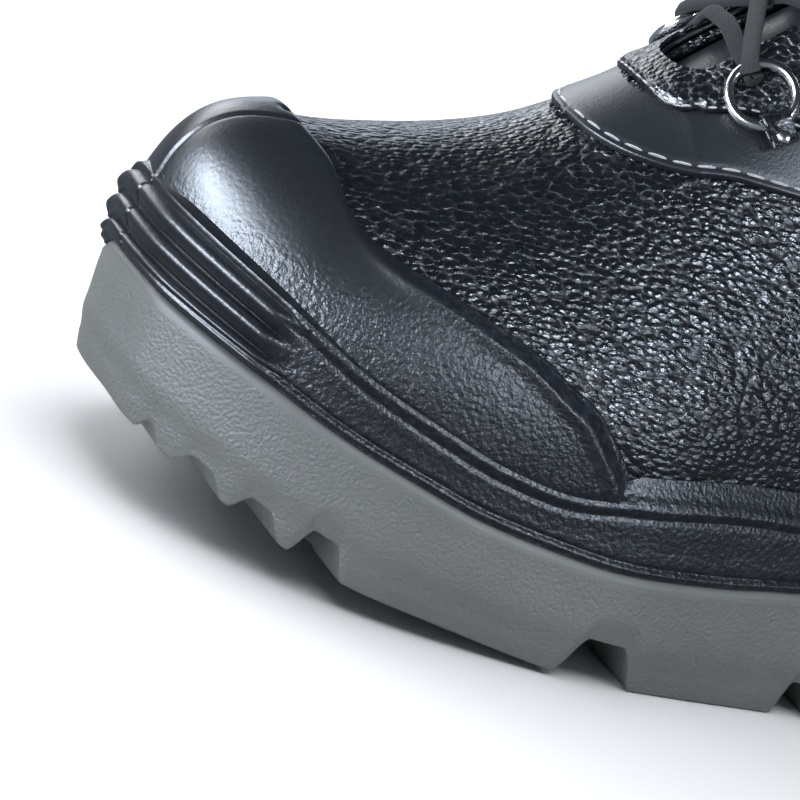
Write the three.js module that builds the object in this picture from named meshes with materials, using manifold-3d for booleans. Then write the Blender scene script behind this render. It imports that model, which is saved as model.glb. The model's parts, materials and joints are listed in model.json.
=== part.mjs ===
// Left safety boot: grey outsole, black midsole with a moulded scuff cap, leather upper, ring lacing.
// Millimetres. +X points to the toe, +Y to the outer side of the foot, +Z up.
// The origin lies on the floor, under the middle of the heel.
import * as THREE from 'three';
import { mergeVertices } from 'three/addons/utils/BufferGeometryUtils.js';
import Module from 'manifold-3d';

const wasm = await Module();
wasm.setup();

// Driving sizes
const length = 300;
const ballWidth = 112;
const heelBehind = 39; // outsole behind the origin
const heelHeight = 30; // footbed above the floor at the heel
const ballHeight = 18; // footbed above the floor at the ball
const toeSpring = 18.3;
const instepHeight = 119;
const shaftHeight = 185; // top of the collar at the front
const backHeight = 168; // top of the collar at the back
const shaftWidth = 77;
const lugDepth = 9;
const cupWall = 3.2;
const junctionHeight = 26.5; // top of the grey cup at the ball
const rimHeight = 43; // top edge of the black rand at the ball
const wall = 2.2; // leather of the upper
const setback = 4; // upper behind the sole's outline
const gap = 0.3; // between pieces that meet
const capThickness = 3.6;
const capEdge = 1.8; // scuff cap where it crosses the ridge
const panelThickness = 1.3;
const collarPad = 6; // padding inside the collar
const collarBulge = 3.4; // padding outside the collar
const tongueThickness = 3.5;
const tongueWidth = 48;
const tongueRise = 14; // tongue above the collar
const throatWidth = 18;
const insoleThickness = 3.5;
const ringRadius = 7.2;
const ringWire = 2.2;
const ringPairs = 4;
const tabWidth = 6;
const laceDiameter = 3.8;

// Fineness of the faceted surfaces
const fanRows = 27;
const fanSteps = 9;
const liningSteps = 7; // on the inner side of the upper
const soleStations = 25;
const soleRounding = 6; // stations around each end of the sole

// Outline of the sole: place along the length, centre line and half width as shares of the ball width
const plan = [
  { at: 0, centre: 0, half: 0.375 },
  { at: 0.12, centre: 0, half: 0.375 },
  { at: 0.3, centre: 0.02, half: 0.36 },
  { at: 0.42, centre: 0.03, half: 0.38 },
  { at: 0.55, centre: 0.03, half: 0.445 },
  { at: 0.66, centre: 0.02, half: 0.495 },
  { at: 0.78, centre: -0.005, half: 0.495 },
  { at: 0.9, centre: -0.03, half: 0.47 },
  { at: 1, centre: -0.05, half: 0.44 },
];
const toeRound = { reach: 0.28, power: 2.35 };
const heelRound = { reach: 0.14, power: 2.2 };

// Heights along the sole, as shares of the height that each one has at the ball; the footbed also
// climbs to the heel height, and everything follows the toe spring
const levels = [
  { at: 0, junction: 1.4, rim: 1.4, bed: 1 },
  { at: 0.15, junction: 1.28, rim: 1.26, bed: 0.86 },
  { at: 0.35, junction: 1.19, rim: 1.12, bed: 0.42 },
  { at: 0.5, junction: 1.09, rim: 1.07, bed: 0.12 },
  { at: 0.56, junction: 1.03, rim: 1.056, bed: 0.04 },
  { at: 0.65, junction: 0.995, rim: 0.985, bed: 0 },
  { at: 0.71, junction: 1.03, rim: 0.923, bed: 0 },
  { at: 0.76, junction: 1.085, rim: 0.958, bed: 0.03 },
  { at: 0.81, junction: 1.19, rim: 1.035, bed: 0.06 },
  { at: 0.87, junction: 1.32, rim: 1.14, bed: 0.1 },
  { at: 0.93, junction: 1.5, rim: 1.3, bed: 0.15 },
  { at: 1, junction: 1.7, rim: 1.465, bed: 0.25 },
];

// Fan of sections from the toe to the collar. Each one is a plane through a front point on the
// ridge and a base point under the foot or, from the heel's corner on, up its back.
// frontX and baseX are shares of the upper's length. frontRise is 0 to 1 up to the instep and 1 to 2
// on to the collar; baseRise is 0 on the footbed and 0 to 1 up the back. crown is the depth over
// which the ridge rounds off, as a share of the instep height, and power its squareness.
const fan = [
  { frontX: 1, frontRise: 0.504, baseX: 0.984, baseRise: 0, crown: 0.26, power: 2.1 },
  { frontX: 0.996, frontRise: 0.567, baseX: 0.979, baseRise: 0, crown: 0.28, power: 2.1 },
  { frontX: 0.986, frontRise: 0.628, baseX: 0.967, baseRise: 0, crown: 0.3, power: 2.1 },
  { frontX: 0.966, frontRise: 0.672, baseX: 0.947, baseRise: 0, crown: 0.32, power: 2.1 },
  { frontX: 0.934, frontRise: 0.697, baseX: 0.921, baseRise: 0, crown: 0.34, power: 2.1 },
  { frontX: 0.892, frontRise: 0.711, baseX: 0.884, baseRise: 0, crown: 0.36, power: 2.1 },
  { frontX: 0.846, frontRise: 0.738, baseX: 0.842, baseRise: 0, crown: 0.39, power: 2.1 },
  { frontX: 0.798, frontRise: 0.776, baseX: 0.79, baseRise: 0, crown: 0.42, power: 2.1 },
  { frontX: 0.753, frontRise: 0.832, baseX: 0.735, baseRise: 0, crown: 0.47, power: 2.05 },
  { frontX: 0.709, frontRise: 0.918, baseX: 0.668, baseRise: 0, crown: 0.52, power: 2 },
  { frontX: 0.675, frontRise: 1, baseX: 0.582, baseRise: 0, crown: 0.56, power: 2 },
  { frontX: 0.64, frontRise: 1.152, baseX: 0.479, baseRise: 0, crown: 0.6, power: 2 },
  { frontX: 0.61, frontRise: 1.288, baseX: 0.36, baseRise: 0, crown: 0.62, power: 2 },
  { frontX: 0.582, frontRise: 1.409, baseX: 0.24, baseRise: 0, crown: 0.62, power: 2 },
  { frontX: 0.558, frontRise: 1.53, baseX: 0.12, baseRise: 0, crown: 0.6, power: 2 },
  { frontX: 0.538, frontRise: 1.621, baseX: 0.035, baseRise: 0, crown: 0.58, power: 2 },
  { frontX: 0.52, frontRise: 1.712, baseX: 0, baseRise: 0, crown: 0.56, power: 2 },
  { frontX: 0.503, frontRise: 1.795, baseX: 0, baseRise: 0.25, crown: 0.54, power: 2 },
  { frontX: 0.49, frontRise: 1.864, baseX: 0, baseRise: 0.5, crown: 0.52, power: 2 },
  { frontX: 0.476, frontRise: 1.939, baseX: 0, baseRise: 0.76, crown: 0.5, power: 2 },
  { frontX: 0.462, frontRise: 2, baseX: 0, baseRise: 1, crown: 0.5, power: 2 },
];
const heelCorner = 16; // row of the fan at the heel's lower corner
const fanEnd = fan.length - 1;

// Back of the heel: forward lean as a share of the length at each rise
const backCurve = [
  { at: 0, lean: 0.006 },
  { at: 0.16, lean: -0.004 },
  { at: 0.3, lean: -0.003 },
  { at: 0.5, lean: 0.009 },
  { at: 0.75, lean: 0.014 },
  { at: 1, lean: 0.006 },
];

// Lug gaps along each side: front and rear edge as shares of the length, depth as a share of the
// lug depth, how far the walls lean in as a share of the gap, and how far the gap runs inwards as a
// share of the sole's width
const lugGaps = [
  { front: 0.98, rear: 0.965, depth: 0.34, lean: 0.4, reach: 0.3 },
  { front: 0.957, rear: 0.922, depth: 0.44, lean: 0.34, reach: 0.32 },
  { front: 0.918, rear: 0.88, depth: 0.55, lean: 0.34, reach: 0.34 },
  { front: 0.874, rear: 0.834, depth: 0.78, lean: 0.3, reach: 0.36 },
  { front: 0.664, rear: 0.591, depth: 1.05, lean: 0.28, reach: 0.52 },
  { front: 0.455, rear: 0.415, depth: 0.9, lean: 0.28, reach: 0.34 },
  { front: 0.375, rear: 0.285, depth: 1.1, lean: 0.24, reach: 0.52 },
  { front: 0.2, rear: 0.16, depth: 0.8, lean: 0.28, reach: 0.34 },
  { front: 0.085, rear: 0.05, depth: 0.6, lean: 0.28, reach: 0.3 },
];

// Upper edge of the scuff cap seen from the side: shares of the upper's length and the instep height
const capEdgeLine = [
  { x: 0.934, rise: 0.8 },
  { x: 0.932, rise: 0.71 },
  { x: 0.914, rise: 0.674 },
  { x: 0.904, rise: 0.63 },
  { x: 0.89, rise: 0.606 },
  { x: 0.862, rise: 0.588 },
  { x: 0.84, rise: 0.58 },
  { x: 0.805, rise: 0.562 },
  { x: 0.766, rise: 0.538 },
  { x: 0.735, rise: 0.507 },
  { x: 0.713, rise: 0.486 },
  { x: 0.698, rise: 0.455 },
  { x: 0.672, rise: 0.395 },
  { x: 0.65, rise: 0.3 },
];

// Lower edge of the ankle panel from the ridge to the back, shares of the upper's length and the
// instep height
const panelEdgeLine = [
  { x: 0.76, rise: 0.93 },
  { x: 0.744, rise: 0.868 },
  { x: 0.72, rise: 0.861 },
  { x: 0.685, rise: 0.869 },
  { x: 0.628, rise: 0.9 },
  { x: 0.52, rise: 0.915 },
  { x: 0.38, rise: 0.89 },
  { x: 0.22, rise: 0.862 },
  { x: -0.1, rise: 0.85 },
];

// Lace facing: how far it reaches below the ridge at each row of the fan, share of the instep height
const facingDepth = [
  { at: 9.45, depth: -0.02 },
  { at: 9.6, depth: 0.02 },
  { at: 10, depth: 0.042 },
  { at: 10.45, depth: 0.062 },
  { at: 10.9, depth: 0.1 },
  { at: 11.25, depth: 0.135 },
  { at: 11.7, depth: 0.18 },
  { at: 13, depth: 0.195 },
  { at: 17, depth: 0.205 },
  { at: 21, depth: 0.215 },
];
// Rows of the fan at the foot of the throat, at the collar's lower seam and at the end rings
const rowOf = { throat: 10.1, collar: 18.5, firstRing: 11.12, lastRing: 18.2 };

// Tread under the toe: height above the floor as a share of the toe spring
const springLine = [
  { at: 0.591, rise: 0 },
  { at: 0.664, rise: 0.066 },
  { at: 0.77, rise: 0.224 },
  { at: 0.829, rise: 0.295 },
  { at: 0.878, rise: 0.437 },
  { at: 0.92, rise: 0.612 },
  { at: 0.958, rise: 0.787 },
  { at: 1, rise: 1 },
];

// Raised ribs around the toe: height between the junction and the rim, and how far back they run
const ribs = [
  { level: 0.2, back: 0.1 },
  { level: 0.5, back: 0.11 },
  { level: 0.8, back: 0.12 },
];
const ribRadius = 2.2;

const colours = {
  outsole: 0x96998f,
  midsole: 0x2a313c,
  leather: 0x222a35,
  smooth: 0x2b3440,
  lining: 0x3a3d42,
  nickel: 0xcfd1d4,
  lace: 0x16181c,
};

// Monotone cubic through one column of a table
function read(table, column, at, key = 'at') {
  const last = table.length - 1;
  const clamped = Math.min(Math.max(at, table[0][key]), table[last][key]);
  let i = 0;
  while (i < last - 1 && table[i + 1][key] < clamped) i += 1;
  const slope = (j) => (table[j + 1][column] - table[j][column]) / (table[j + 1][key] - table[j][key]);
  const tangent = (j) => {
    if (j === 0) return slope(0);
    if (j === last) return slope(last - 1);
    const before = slope(j - 1);
    const after = slope(j);
    return before * after <= 0 ? 0 : (2 * before * after) / (before + after);
  };
  const span = table[i + 1][key] - table[i][key];
  const t = (clamped - table[i][key]) / span;
  return (
    table[i][column] * (2 * t ** 3 - 3 * t ** 2 + 1) +
    span * tangent(i) * (t ** 3 - 2 * t ** 2 + t) +
    table[i + 1][column] * (-2 * t ** 3 + 3 * t ** 2) +
    span * tangent(i + 1) * (t ** 3 - t ** 2)
  );
}

const rowedFan = fan.map((row, at) => ({ ...row, at }));
const mix = (a, b, t) => a + (b - a) * t;
const clamp01 = (t) => Math.min(Math.max(t, 0), 1);
const smooth = (t) => clamp01(t) ** 2 * (3 - 2 * clamp01(t));
const rounded = (t, power) => (1 - (1 - clamp01(t)) ** power) ** (1 / power);

// Sole lines
const heelBack = -heelBehind;
const xAt = (share) => heelBack + share * length;
const shareAt = (x) => (x - heelBack) / length;
const centreAt = (share) => read(plan, 'centre', share) * ballWidth;
const halfAt = (share) => read(plan, 'half', share) * ballWidth;
const roundAt = (share) =>
  rounded(share / heelRound.reach, heelRound.power) * rounded((1 - share) / toeRound.reach, toeRound.power);
const springAt = (share) => toeSpring * read(springLine, 'rise', share);
// The grey cup is lower and slimmer round the inner side of the toe
const innerDrop = 3.5;
const innerTuck = 2;
const tuckAt = (share, side) => (side < 0 ? smooth((share - 0.86) / 0.1) : smooth((share - 0.985) / 0.015));
const junctionAt = (share, side = 1) => {
  const drop = side < 0 ? innerDrop * smooth((1 - share) / 0.012) * tuckAt(share, side) : 0;
  return junctionHeight * read(levels, 'junction', share) - drop;
};
const rimAt = (share) => rimHeight * read(levels, 'rim', share);
const ballShare = 0.65;
const springUnderFoot = 0.32; // share of the toe spring that reaches the footbed
const bedAt = (share) => {
  const climb = share < ballShare ? heelHeight - ballHeight : toeSpring;
  return ballHeight + climb * read(levels, 'bed', share) + springAt(share) * springUnderFoot;
};
const greyUnderPocket = 3;
const underBed = ballHeight - lugDepth - greyUnderPocket; // black layer under the foot
const pocketAt = (share) => bedAt(share) - underBed * mix(1, 0.55, smooth((share - 0.8) / 0.2));

// Upper's side view
const upperBack = heelBack + setback;
const upperLength = length - 2 * setback;
const ux = (share) => upperBack + share * upperLength;
const frontZ = (rise) =>
  rise <= 1 ? rise * instepHeight : mix(instepHeight, shaftHeight, rise - 1);
const backX = (z) => {
  const rise = clamp01((z - heelHeight) / (backHeight - heelHeight));
  return upperBack + read(backCurve, 'lean', rise) * length;
};
function sectionAt(row) {
  const get = (column) => read(rowedFan, column, row);
  const front = new THREE.Vector2(ux(get('frontX')), frontZ(get('frontRise')));
  const rise = row > heelCorner ? get('baseRise') : 0;
  const base = new THREE.Vector2(ux(get('baseX')), bedAt(shareAt(ux(get('baseX')))));
  if (row >= heelCorner) {
    base.y = mix(heelHeight, backHeight, rise);
    base.x = backX(base.y);
  }
  base.x = Math.max(base.x, backX(base.y));
  return { front, base, crown: get('crown') * instepHeight, power: get('power') };
}

// Half width of the upper grows from the ridge to the plan outline low down and to the shaft above
const ridgeShift = -4;
function pointOn(row, h, side) {
  const { front, base, crown, power } = sectionAt(row);
  const x = mix(base.x, front.x, h);
  const z = mix(base.y, front.y, h);
  const share = shareAt(x);
  const high = smooth((z - 0.42 * instepHeight) / (0.63 * instepHeight));
  const toe = rounded((ux(1) - x) / (toeRound.reach * length), toeRound.power);
  const heel = rounded((x - backX(z)) / (heelRound.reach * length), heelRound.power);
  const tuck = mix(0.89, 1, smooth((z - bedAt(share)) / (0.2 * instepHeight)));
  const half = mix((halfAt(share) - setback) * tuck, shaftWidth / 2, high) * toe * heel;
  const centre = mix(centreAt(share), 0, high);
  const ridge = centre + mix(ridgeShift, 0, high) * toe;
  const down = rounded(((1 - h) * front.distanceTo(base)) / crown, power);
  return new THREE.Vector3(x, mix(ridge, centre + side * half, down), z);
}

// A closed body through the fan. offset moves the surface out along its normal, drop carries the
// bottom edge on downwards and lift carries the top on beyond its last row.
function fanBody({ offset = 0, from = 0, to = fanEnd, rows = fanRows, steps = fanSteps, drop = 0, lift = 0 }) {
  const heights = Array.from({ length: steps + 1 }, (_, j) => (1 - Math.cos((Math.PI * j) / steps)) / 2);
  const count = Math.max(2, Math.round(((to - from) / fanEnd) * rows));
  const loops = [];
  for (let i = 0; i <= count; i += 1) {
    const row = mix(from, to, i / count);
    const outer = heights.map((h) => ({ row, h, point: pointOn(row, h, 1) }));
    const inner = heights.slice(0, -1).reverse().map((h) => ({ row, h, point: pointOn(row, h, -1) }));
    loops.push([...outer, ...inner]);
  }
  const width = loops[0].length;
  const sides = [];
  for (let i = 0; i < count; i += 1) {
    for (let j = 0; j < width - 1; j += 1) {
      const a = i * width + j;
      sides.push(a, a + 1, a + width, a + 1, a + width + 1, a + width);
    }
  }
  const shell = weld(loops.flat().flatMap(({ point }) => point.toArray()), sides);
  const normals = vertexNormals(shell);
  const outward = volumeOf(shell) > 0 ? 1 : -1;
  const moved = loops.map((loop, i) => {
    const places = loop.map(({ row, h, point }, j) => {
      const normal = normals[shell.map[i * width + j]];
      const distance = typeof offset === 'function' ? offset(row, h) : offset;
      const place = point.clone().addScaledVector(normal, outward * distance);
      if (h === 0 && row <= heelCorner) place.z = point.z;
      return place;
    });
    const below = new THREE.Vector3(0, 0, loop[0].row <= heelCorner ? -drop : 0);
    return [places[0].clone().add(below), ...places, places[width - 1].clone().add(below)];
  });
  if (lift > 0) {
    const { front, base } = sectionAt(to);
    const up = new THREE.Vector3(base.y - front.y, 0, front.x - base.x).normalize();
    moved.push(moved[count].map((place) => place.clone().addScaledVector(up, lift)));
  }
  const size = width + 2;
  const faces = [];
  for (let i = 0; i < moved.length - 1; i += 1) {
    for (let j = 0; j < size; j += 1) {
      const next = (j + 1) % size;
      const a = i * size;
      faces.push(a + j, a + next, a + size + j, a + next, a + size + next, a + size + j);
    }
  }
  const end = (moved.length - 1) * size;
  for (let j = 0; j <= steps; j += 1) {
    const far = size - 1 - j;
    faces.push(j, far, j + 1, far, far - 1, j + 1);
    faces.push(end + j, end + j + 1, end + far, end + far, end + j + 1, end + far - 1);
  }
  return solidFrom(moved.flat().flatMap((place) => place.toArray()), faces);
}

function weld(positions, faces) {
  const keys = new Map();
  const map = [];
  const points = [];
  for (let i = 0; i < positions.length; i += 3) {
    const key = [0, 1, 2].map((k) => Math.round(positions[i + k] * 1e4)).join();
    if (!keys.has(key)) {
      keys.set(key, points.length);
      points.push(new THREE.Vector3(positions[i], positions[i + 1], positions[i + 2]));
    }
    map.push(keys.get(key));
  }
  const triangles = [];
  for (let i = 0; i < faces.length; i += 3) {
    const [a, b, c] = [map[faces[i]], map[faces[i + 1]], map[faces[i + 2]]];
    if (a !== b && b !== c && a !== c) triangles.push([a, b, c]);
  }
  return { map, points, triangles };
}

function vertexNormals({ points, triangles }) {
  const normals = points.map(() => new THREE.Vector3());
  for (const [a, b, c] of triangles) {
    const face = points[b].clone().sub(points[a]).cross(points[c].clone().sub(points[a]));
    for (const corner of [a, b, c]) normals[corner].add(face);
  }
  return normals.map((n) => n.normalize());
}

function volumeOf({ points, triangles }) {
  const middle = new THREE.Vector3();
  points.forEach((p) => middle.add(p));
  middle.divideScalar(points.length);
  let total = 0;
  for (const [a, b, c] of triangles) {
    const [p, q, r] = [a, b, c].map((k) => points[k].clone().sub(middle));
    total += p.dot(q.cross(r));
  }
  return total;
}

function solidFrom(positions, faces) {
  const { points, triangles } = weld(positions, faces);
  const flip = volumeOf({ points, triangles }) < 0;
  const ordered = triangles.map(([a, b, c]) => (flip ? [a, c, b] : [a, b, c]));
  return new wasm.Manifold(new wasm.Mesh({
    numProp: 3,
    vertProperties: new Float32Array(points.flatMap((p) => p.toArray())),
    triVerts: new Uint32Array(ordered.flat()),
  }));
}

function solidOf(geometry) {
  const bare = geometry.clone();
  bare.deleteAttribute('normal');
  bare.deleteAttribute('uv');
  const merged = mergeVertices(bare, 1e-4);
  return solidFrom([...merged.attributes.position.array], [...merged.index.array]);
}

function geometryOf(solid) {
  const mesh = solid.getMesh();
  const geometry = new THREE.BufferGeometry();
  geometry.setAttribute('position', new THREE.BufferAttribute(new Float32Array(mesh.vertProperties), 3));
  geometry.setIndex(new THREE.BufferAttribute(new Uint32Array(mesh.triVerts), 1));
  geometry.computeVertexNormals();
  return geometry;
}

// Keeps the largest body, where a cut leaves crumbs beside it
function largest(solid) {
  const bodies = solid.decompose();
  return bodies.reduce((a, b) => (b.volume() > a.volume() ? b : a));
}

// A prism across the boot from an outline in its side view
const across = ballWidth * 1.5;
function sidePrism(outline, width = across, middle = 0) {
  const shape = new THREE.Shape(outline.map(({ x, z }) => new THREE.Vector2(x, z)));
  const geometry = new THREE.ExtrudeGeometry(shape, { depth: width, bevelEnabled: false });
  geometry.rotateX(Math.PI / 2);
  geometry.translate(0, middle + width / 2, 0);
  return solidOf(geometry);
}

// Sole bodies: rings around the outline, each a height and an inset from the edge
function soleStationShares() {
  const shares = [];
  const turn = Math.PI / 2 / soleRounding;
  for (let i = 0; i < soleRounding; i += 1) {
    shares.push(heelRound.reach * (1 - Math.cos(i * turn)));
  }
  const straight = soleStations - 2 * soleRounding;
  for (let i = 0; i <= straight; i += 1) {
    shares.push(mix(heelRound.reach, 1 - toeRound.reach, i / straight));
  }
  for (let i = soleRounding - 1; i >= 0; i -= 1) {
    shares.push(1 - toeRound.reach * (1 - Math.cos(i * turn)));
  }
  return shares;
}
const stations = soleStationShares();

function outlinePoint(share, side, inset) {
  const place = (s) => new THREE.Vector2(xAt(s), centreAt(s) + side * halfAt(s) * roundAt(s));
  const here = place(share);
  const step = 0.002;
  const normal = new THREE.Vector2();
  if (share <= 0) normal.set(-1, 0);
  else if (share >= 1) normal.set(1, 0);
  else {
    const along = place(Math.min(share + step, 1)).sub(place(Math.max(share - step, 0)));
    normal.set(-along.y, along.x).multiplyScalar(side).normalize();
  }
  return here.addScaledVector(normal, -inset);
}

function soleBody(rings) {
  const size = 2 * stations.length - 2;
  const positions = [];
  const faces = [];
  for (const { z, inset } of rings) {
    for (let k = 0; k < size; k += 1) {
      const outer = k < stations.length;
      const share = outer ? stations[k] : stations[size - k];
      const side = outer ? 1 : -1;
      const insetHere = typeof inset === 'function' ? inset(share, side) : inset;
      const { x, y } = outlinePoint(share, side, insetHere);
      positions.push(x, y, z(share, side));
    }
  }
  for (let i = 0; i < rings.length - 1; i += 1) {
    for (let k = 0; k < size; k += 1) {
      const next = (k + 1) % size;
      const a = i * size;
      faces.push(a + k, a + size + k, a + next, a + next, a + size + k, a + size + next);
    }
  }
  const top = (rings.length - 1) * size;
  for (let k = 0; k < stations.length - 1; k += 1) {
    const left = k;
    const leftNext = k + 1;
    const right = (size - k) % size;
    const rightNext = size - k - 1;
    faces.push(left, leftNext, right, right, leftNext, rightNext);
    faces.push(top + left, top + right, top + leftNext, top + right, top + rightNext, top + leftNext);
  }
  return solidFrom(positions, faces);
}

// A round bar along a list of points, closed at both ends
function bar(points, radius, sides) {
  const path = new THREE.CatmullRomCurve3(points);
  const shape = new THREE.Shape();
  for (let i = 0; i < sides; i += 1) {
    const angle = (2 * Math.PI * i) / sides;
    const corner = [radius * Math.cos(angle), radius * Math.sin(angle)];
    if (i === 0) shape.moveTo(...corner);
    else shape.lineTo(...corner);
  }
  const steps = points.length - 1;
  return solidOf(new THREE.ExtrudeGeometry(shape, { steps, extrudePath: path, bevelEnabled: false }));
}

// Grey outsole: a cup whose lugs are left between the gaps
const toeward = (share) => clamp01((share - 0.75) / 0.25) ** 1.5;
const treadInset = (share, side) => 1 + 1.6 * toeward(share) + innerTuck * tuckAt(share, side);
const bulgeInset = (share, side) => 0.6 * toeward(share) - 0.4 + innerTuck * tuckAt(share, side);
function lugCutter({ front, rear, depth, lean, reach }, side) {
  const under = springAt(rear) - lugDepth;
  const spread = (front - rear) * lean;
  const deep = depth * lugDepth;
  const outline = [
    { x: xAt(rear + spread), z: springAt(rear + spread) + deep },
    { x: xAt(front - spread), z: springAt(front - spread) + deep },
    { x: xAt(front), z: springAt(front) },
    { x: xAt(front), z: under },
    { x: xAt(rear), z: under },
    { x: xAt(rear), z: springAt(rear) },
  ];
  const width = halfAt((front + rear) / 2) * 2 * reach;
  const edge = centreAt((front + rear) / 2) + side * (halfAt((front + rear) / 2) + setback);
  return sidePrism(outline, width + setback, edge - (side * (width + setback)) / 2);
}
function makeOutsole() {
  const lip = 0.8;
  let solid = soleBody([
    { z: springAt, inset: treadInset },
    {
      z: (s, side) => mix(springAt(s), junctionAt(s, side), 0.16),
      inset: (s, side) => mix(treadInset(s, side), bulgeInset(s, side), 0.4),
    },
    { z: (s, side) => mix(springAt(s), junctionAt(s, side), 0.45), inset: bulgeInset },
    { z: (s, side) => junctionAt(s, side) - 3 * lip, inset: (s, side) => 1.5 * tuckAt(s, side) },
    { z: junctionAt, inset: (s, side) => lip + tuckAt(s, side) },
    { z: junctionAt, inset: cupWall },
    { z: pocketAt, inset: cupWall },
  ]);
  for (const gapRow of lugGaps) {
    solid = solid.subtract(lugCutter(gapRow, 1)).subtract(lugCutter(gapRow, -1));
  }
  return largest(solid);
}

// Black midsole: the layer under the foot, the rand up to its rim and the scuff cap over the toe
const clear = 40; // how far a cutting body reaches past what it cuts
const capRow = 4; // row of the fan where the cap ends on the ridge
const capFlank = 0.45; // share of a section's height over which the cap gains its full thickness
function capCover(row, h) {
  const side = smooth((1 - h) / capFlank);
  const forward = smooth((capRow - row) / (capRow - 1));
  return mix(capEdge, capThickness, Math.max(side, forward));
}
function makeCap() {
  const lower = (x) => mix(junctionAt(shareAt(x)), rimAt(shareAt(x)), 0.5);
  const outline = capEdgeLine
    .map(({ x, rise }) => ({ x: ux(x), z: rise * instepHeight }))
    .filter(({ x, z }) => z > lower(x) + gap);
  const tail = outline[outline.length - 1].x;
  const steps = 8;
  for (let i = 0; i <= steps; i += 1) {
    const x = mix(tail, xAt(1), i / steps);
    outline.push({ x, z: lower(x) });
  }
  outline.push({ x: xAt(1) + clear, z: outline[outline.length - 1].z });
  outline.push({ x: xAt(1) + clear, z: outline[0].z });
  return fanBody({ offset: capCover, to: heelCorner - 4 }).intersect(sidePrism(outline));
}
function makeRib({ level, back }) {
  const turns = 12;
  const run = [];
  for (let i = 0; i <= turns; i += 1) {
    const t = (2 * i) / turns - 1;
    const share = 1 - back * Math.abs(t) ** 1.8;
    const side = t < 0 ? 1 : -1;
    const { x, y } = outlinePoint(share, side, ribRadius * mix(0.55, 1.25, Math.abs(t) ** 3));
    run.push(new THREE.Vector3(x, y, mix(junctionAt(share, side), rimAt(share), level)));
  }
  return bar(run, ribRadius, 6);
}
function makeMidsole() {
  const flank = 5; // slope from the rim up to the leather
  const edge = 0.6;
  const rand = soleBody([
    { z: (s) => pocketAt(s) + gap, inset: cupWall + gap },
    { z: (s, side) => junctionAt(s, side) + gap, inset: cupWall + gap },
    { z: (s, side) => junctionAt(s, side) + gap, inset: edge },
    { z: (s, side) => mix(junctionAt(s, side), rimAt(s), 0.3), inset: 0 },
    { z: rimAt, inset: edge },
    { z: (s) => rimAt(s) + flank, inset: setback - edge },
    { z: (s) => rimAt(s) + flank, inset: 3 * setback },
  ]);
  let solid = rand.add(makeCap());
  for (const rib of ribs) solid = solid.add(makeRib(rib));
  return largest(solid.subtract(fanBody({ offset: gap, drop: gap, lift: clear })));
}

function makeInsole() {
  const board = soleBody([
    { z: (s) => bedAt(s) + gap, inset: setback },
    { z: (s) => bedAt(s) + gap + insoleThickness, inset: setback },
  ]);
  return largest(board.intersect(fanBody({ offset: -wall - 2 * gap, steps: liningSteps })));
}

// Cutting body that follows the ridge: a band of the given half width, rounded at its lower end
const bandInward = 40;
const bandOutward = 12;
function ridgeBand(start, half) {
  const steps = 14;
  const sections = [];
  const frontAt = (row) => sectionAt(row).front;
  for (let i = 0; i <= steps; i += 1) {
    const row = mix(start, fanEnd, (i / steps) ** 1.3);
    const here = frontAt(row);
    const along = frontAt(Math.min(row + 0.1, fanEnd)).sub(frontAt(row - 0.1)).normalize();
    const run = here.distanceTo(frontAt(start));
    const width = Math.max(half * rounded((run + 2) / half, 2), 1);
    sections.push({ here, along, width, y: pointOn(row, 1, 1).y });
  }
  const last = sections[steps];
  sections.push({ ...last, here: last.here.clone().addScaledVector(last.along, clear) });
  const positions = [];
  const faces = [];
  sections.forEach(({ here, along, width, y }) => {
    const out = new THREE.Vector2(along.y, -along.x);
    for (const [side, depth] of [[1, -bandInward], [1, bandOutward], [-1, bandOutward], [-1, -bandInward]]) {
      positions.push(here.x + out.x * depth, y + side * width, here.y + out.y * depth);
    }
  });
  for (let i = 0; i < sections.length - 1; i += 1) {
    for (let k = 0; k < 4; k += 1) {
      const next = (k + 1) % 4;
      const a = i * 4;
      faces.push(a + k, a + next, a + 4 + k, a + next, a + 4 + next, a + 4 + k);
    }
  }
  const end = (sections.length - 1) * 4;
  faces.push(0, 2, 1, 0, 3, 2, end, end + 1, end + 2, end, end + 2, end + 3);
  return solidFrom(positions, faces);
}
const throatCut = () => ridgeBand(rowOf.throat, throatWidth / 2);
const tongueBand = (clearance) => ridgeBand(rowOf.throat - 1.4, tongueWidth / 2 + clearance);

// Side outline of the facing, from the ridge down by its depth; extra widens it all round
function facingPrism(extra = 0) {
  const rows = [];
  const outer = [];
  for (let row = facingDepth[0].at; row <= fanEnd + 1e-6; row += 0.5) rows.push(row);
  const frameAt = (row) => {
    const here = sectionAt(row).front;
    const along = sectionAt(Math.min(row + 0.1, fanEnd)).front.sub(sectionAt(row - 0.1).front).normalize();
    return { here, along, inward: new THREE.Vector2(-along.y, along.x) };
  };
  const edge = rows.map((row) => {
    const { here, along, inward } = frameAt(row);
    const start = row === rows[0] ? -extra : 0;
    return here
      .clone()
      .addScaledVector(inward, read(facingDepth, 'depth', row) * instepHeight + extra)
      .addScaledVector(along, start);
  });
  rows.forEach((row) => {
    const { here, inward } = frameAt(row);
    outer.push(here.clone().addScaledVector(inward, -bandOutward));
  });
  const top = frameAt(fanEnd);
  edge.push(edge[edge.length - 1].clone().addScaledVector(top.along, clear));
  outer.push(outer[outer.length - 1].clone().addScaledVector(top.along, clear));
  const outline = [...edge, ...outer.reverse()].map((p) => ({ x: p.x, z: p.y }));
  return sidePrism(outline);
}

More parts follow.
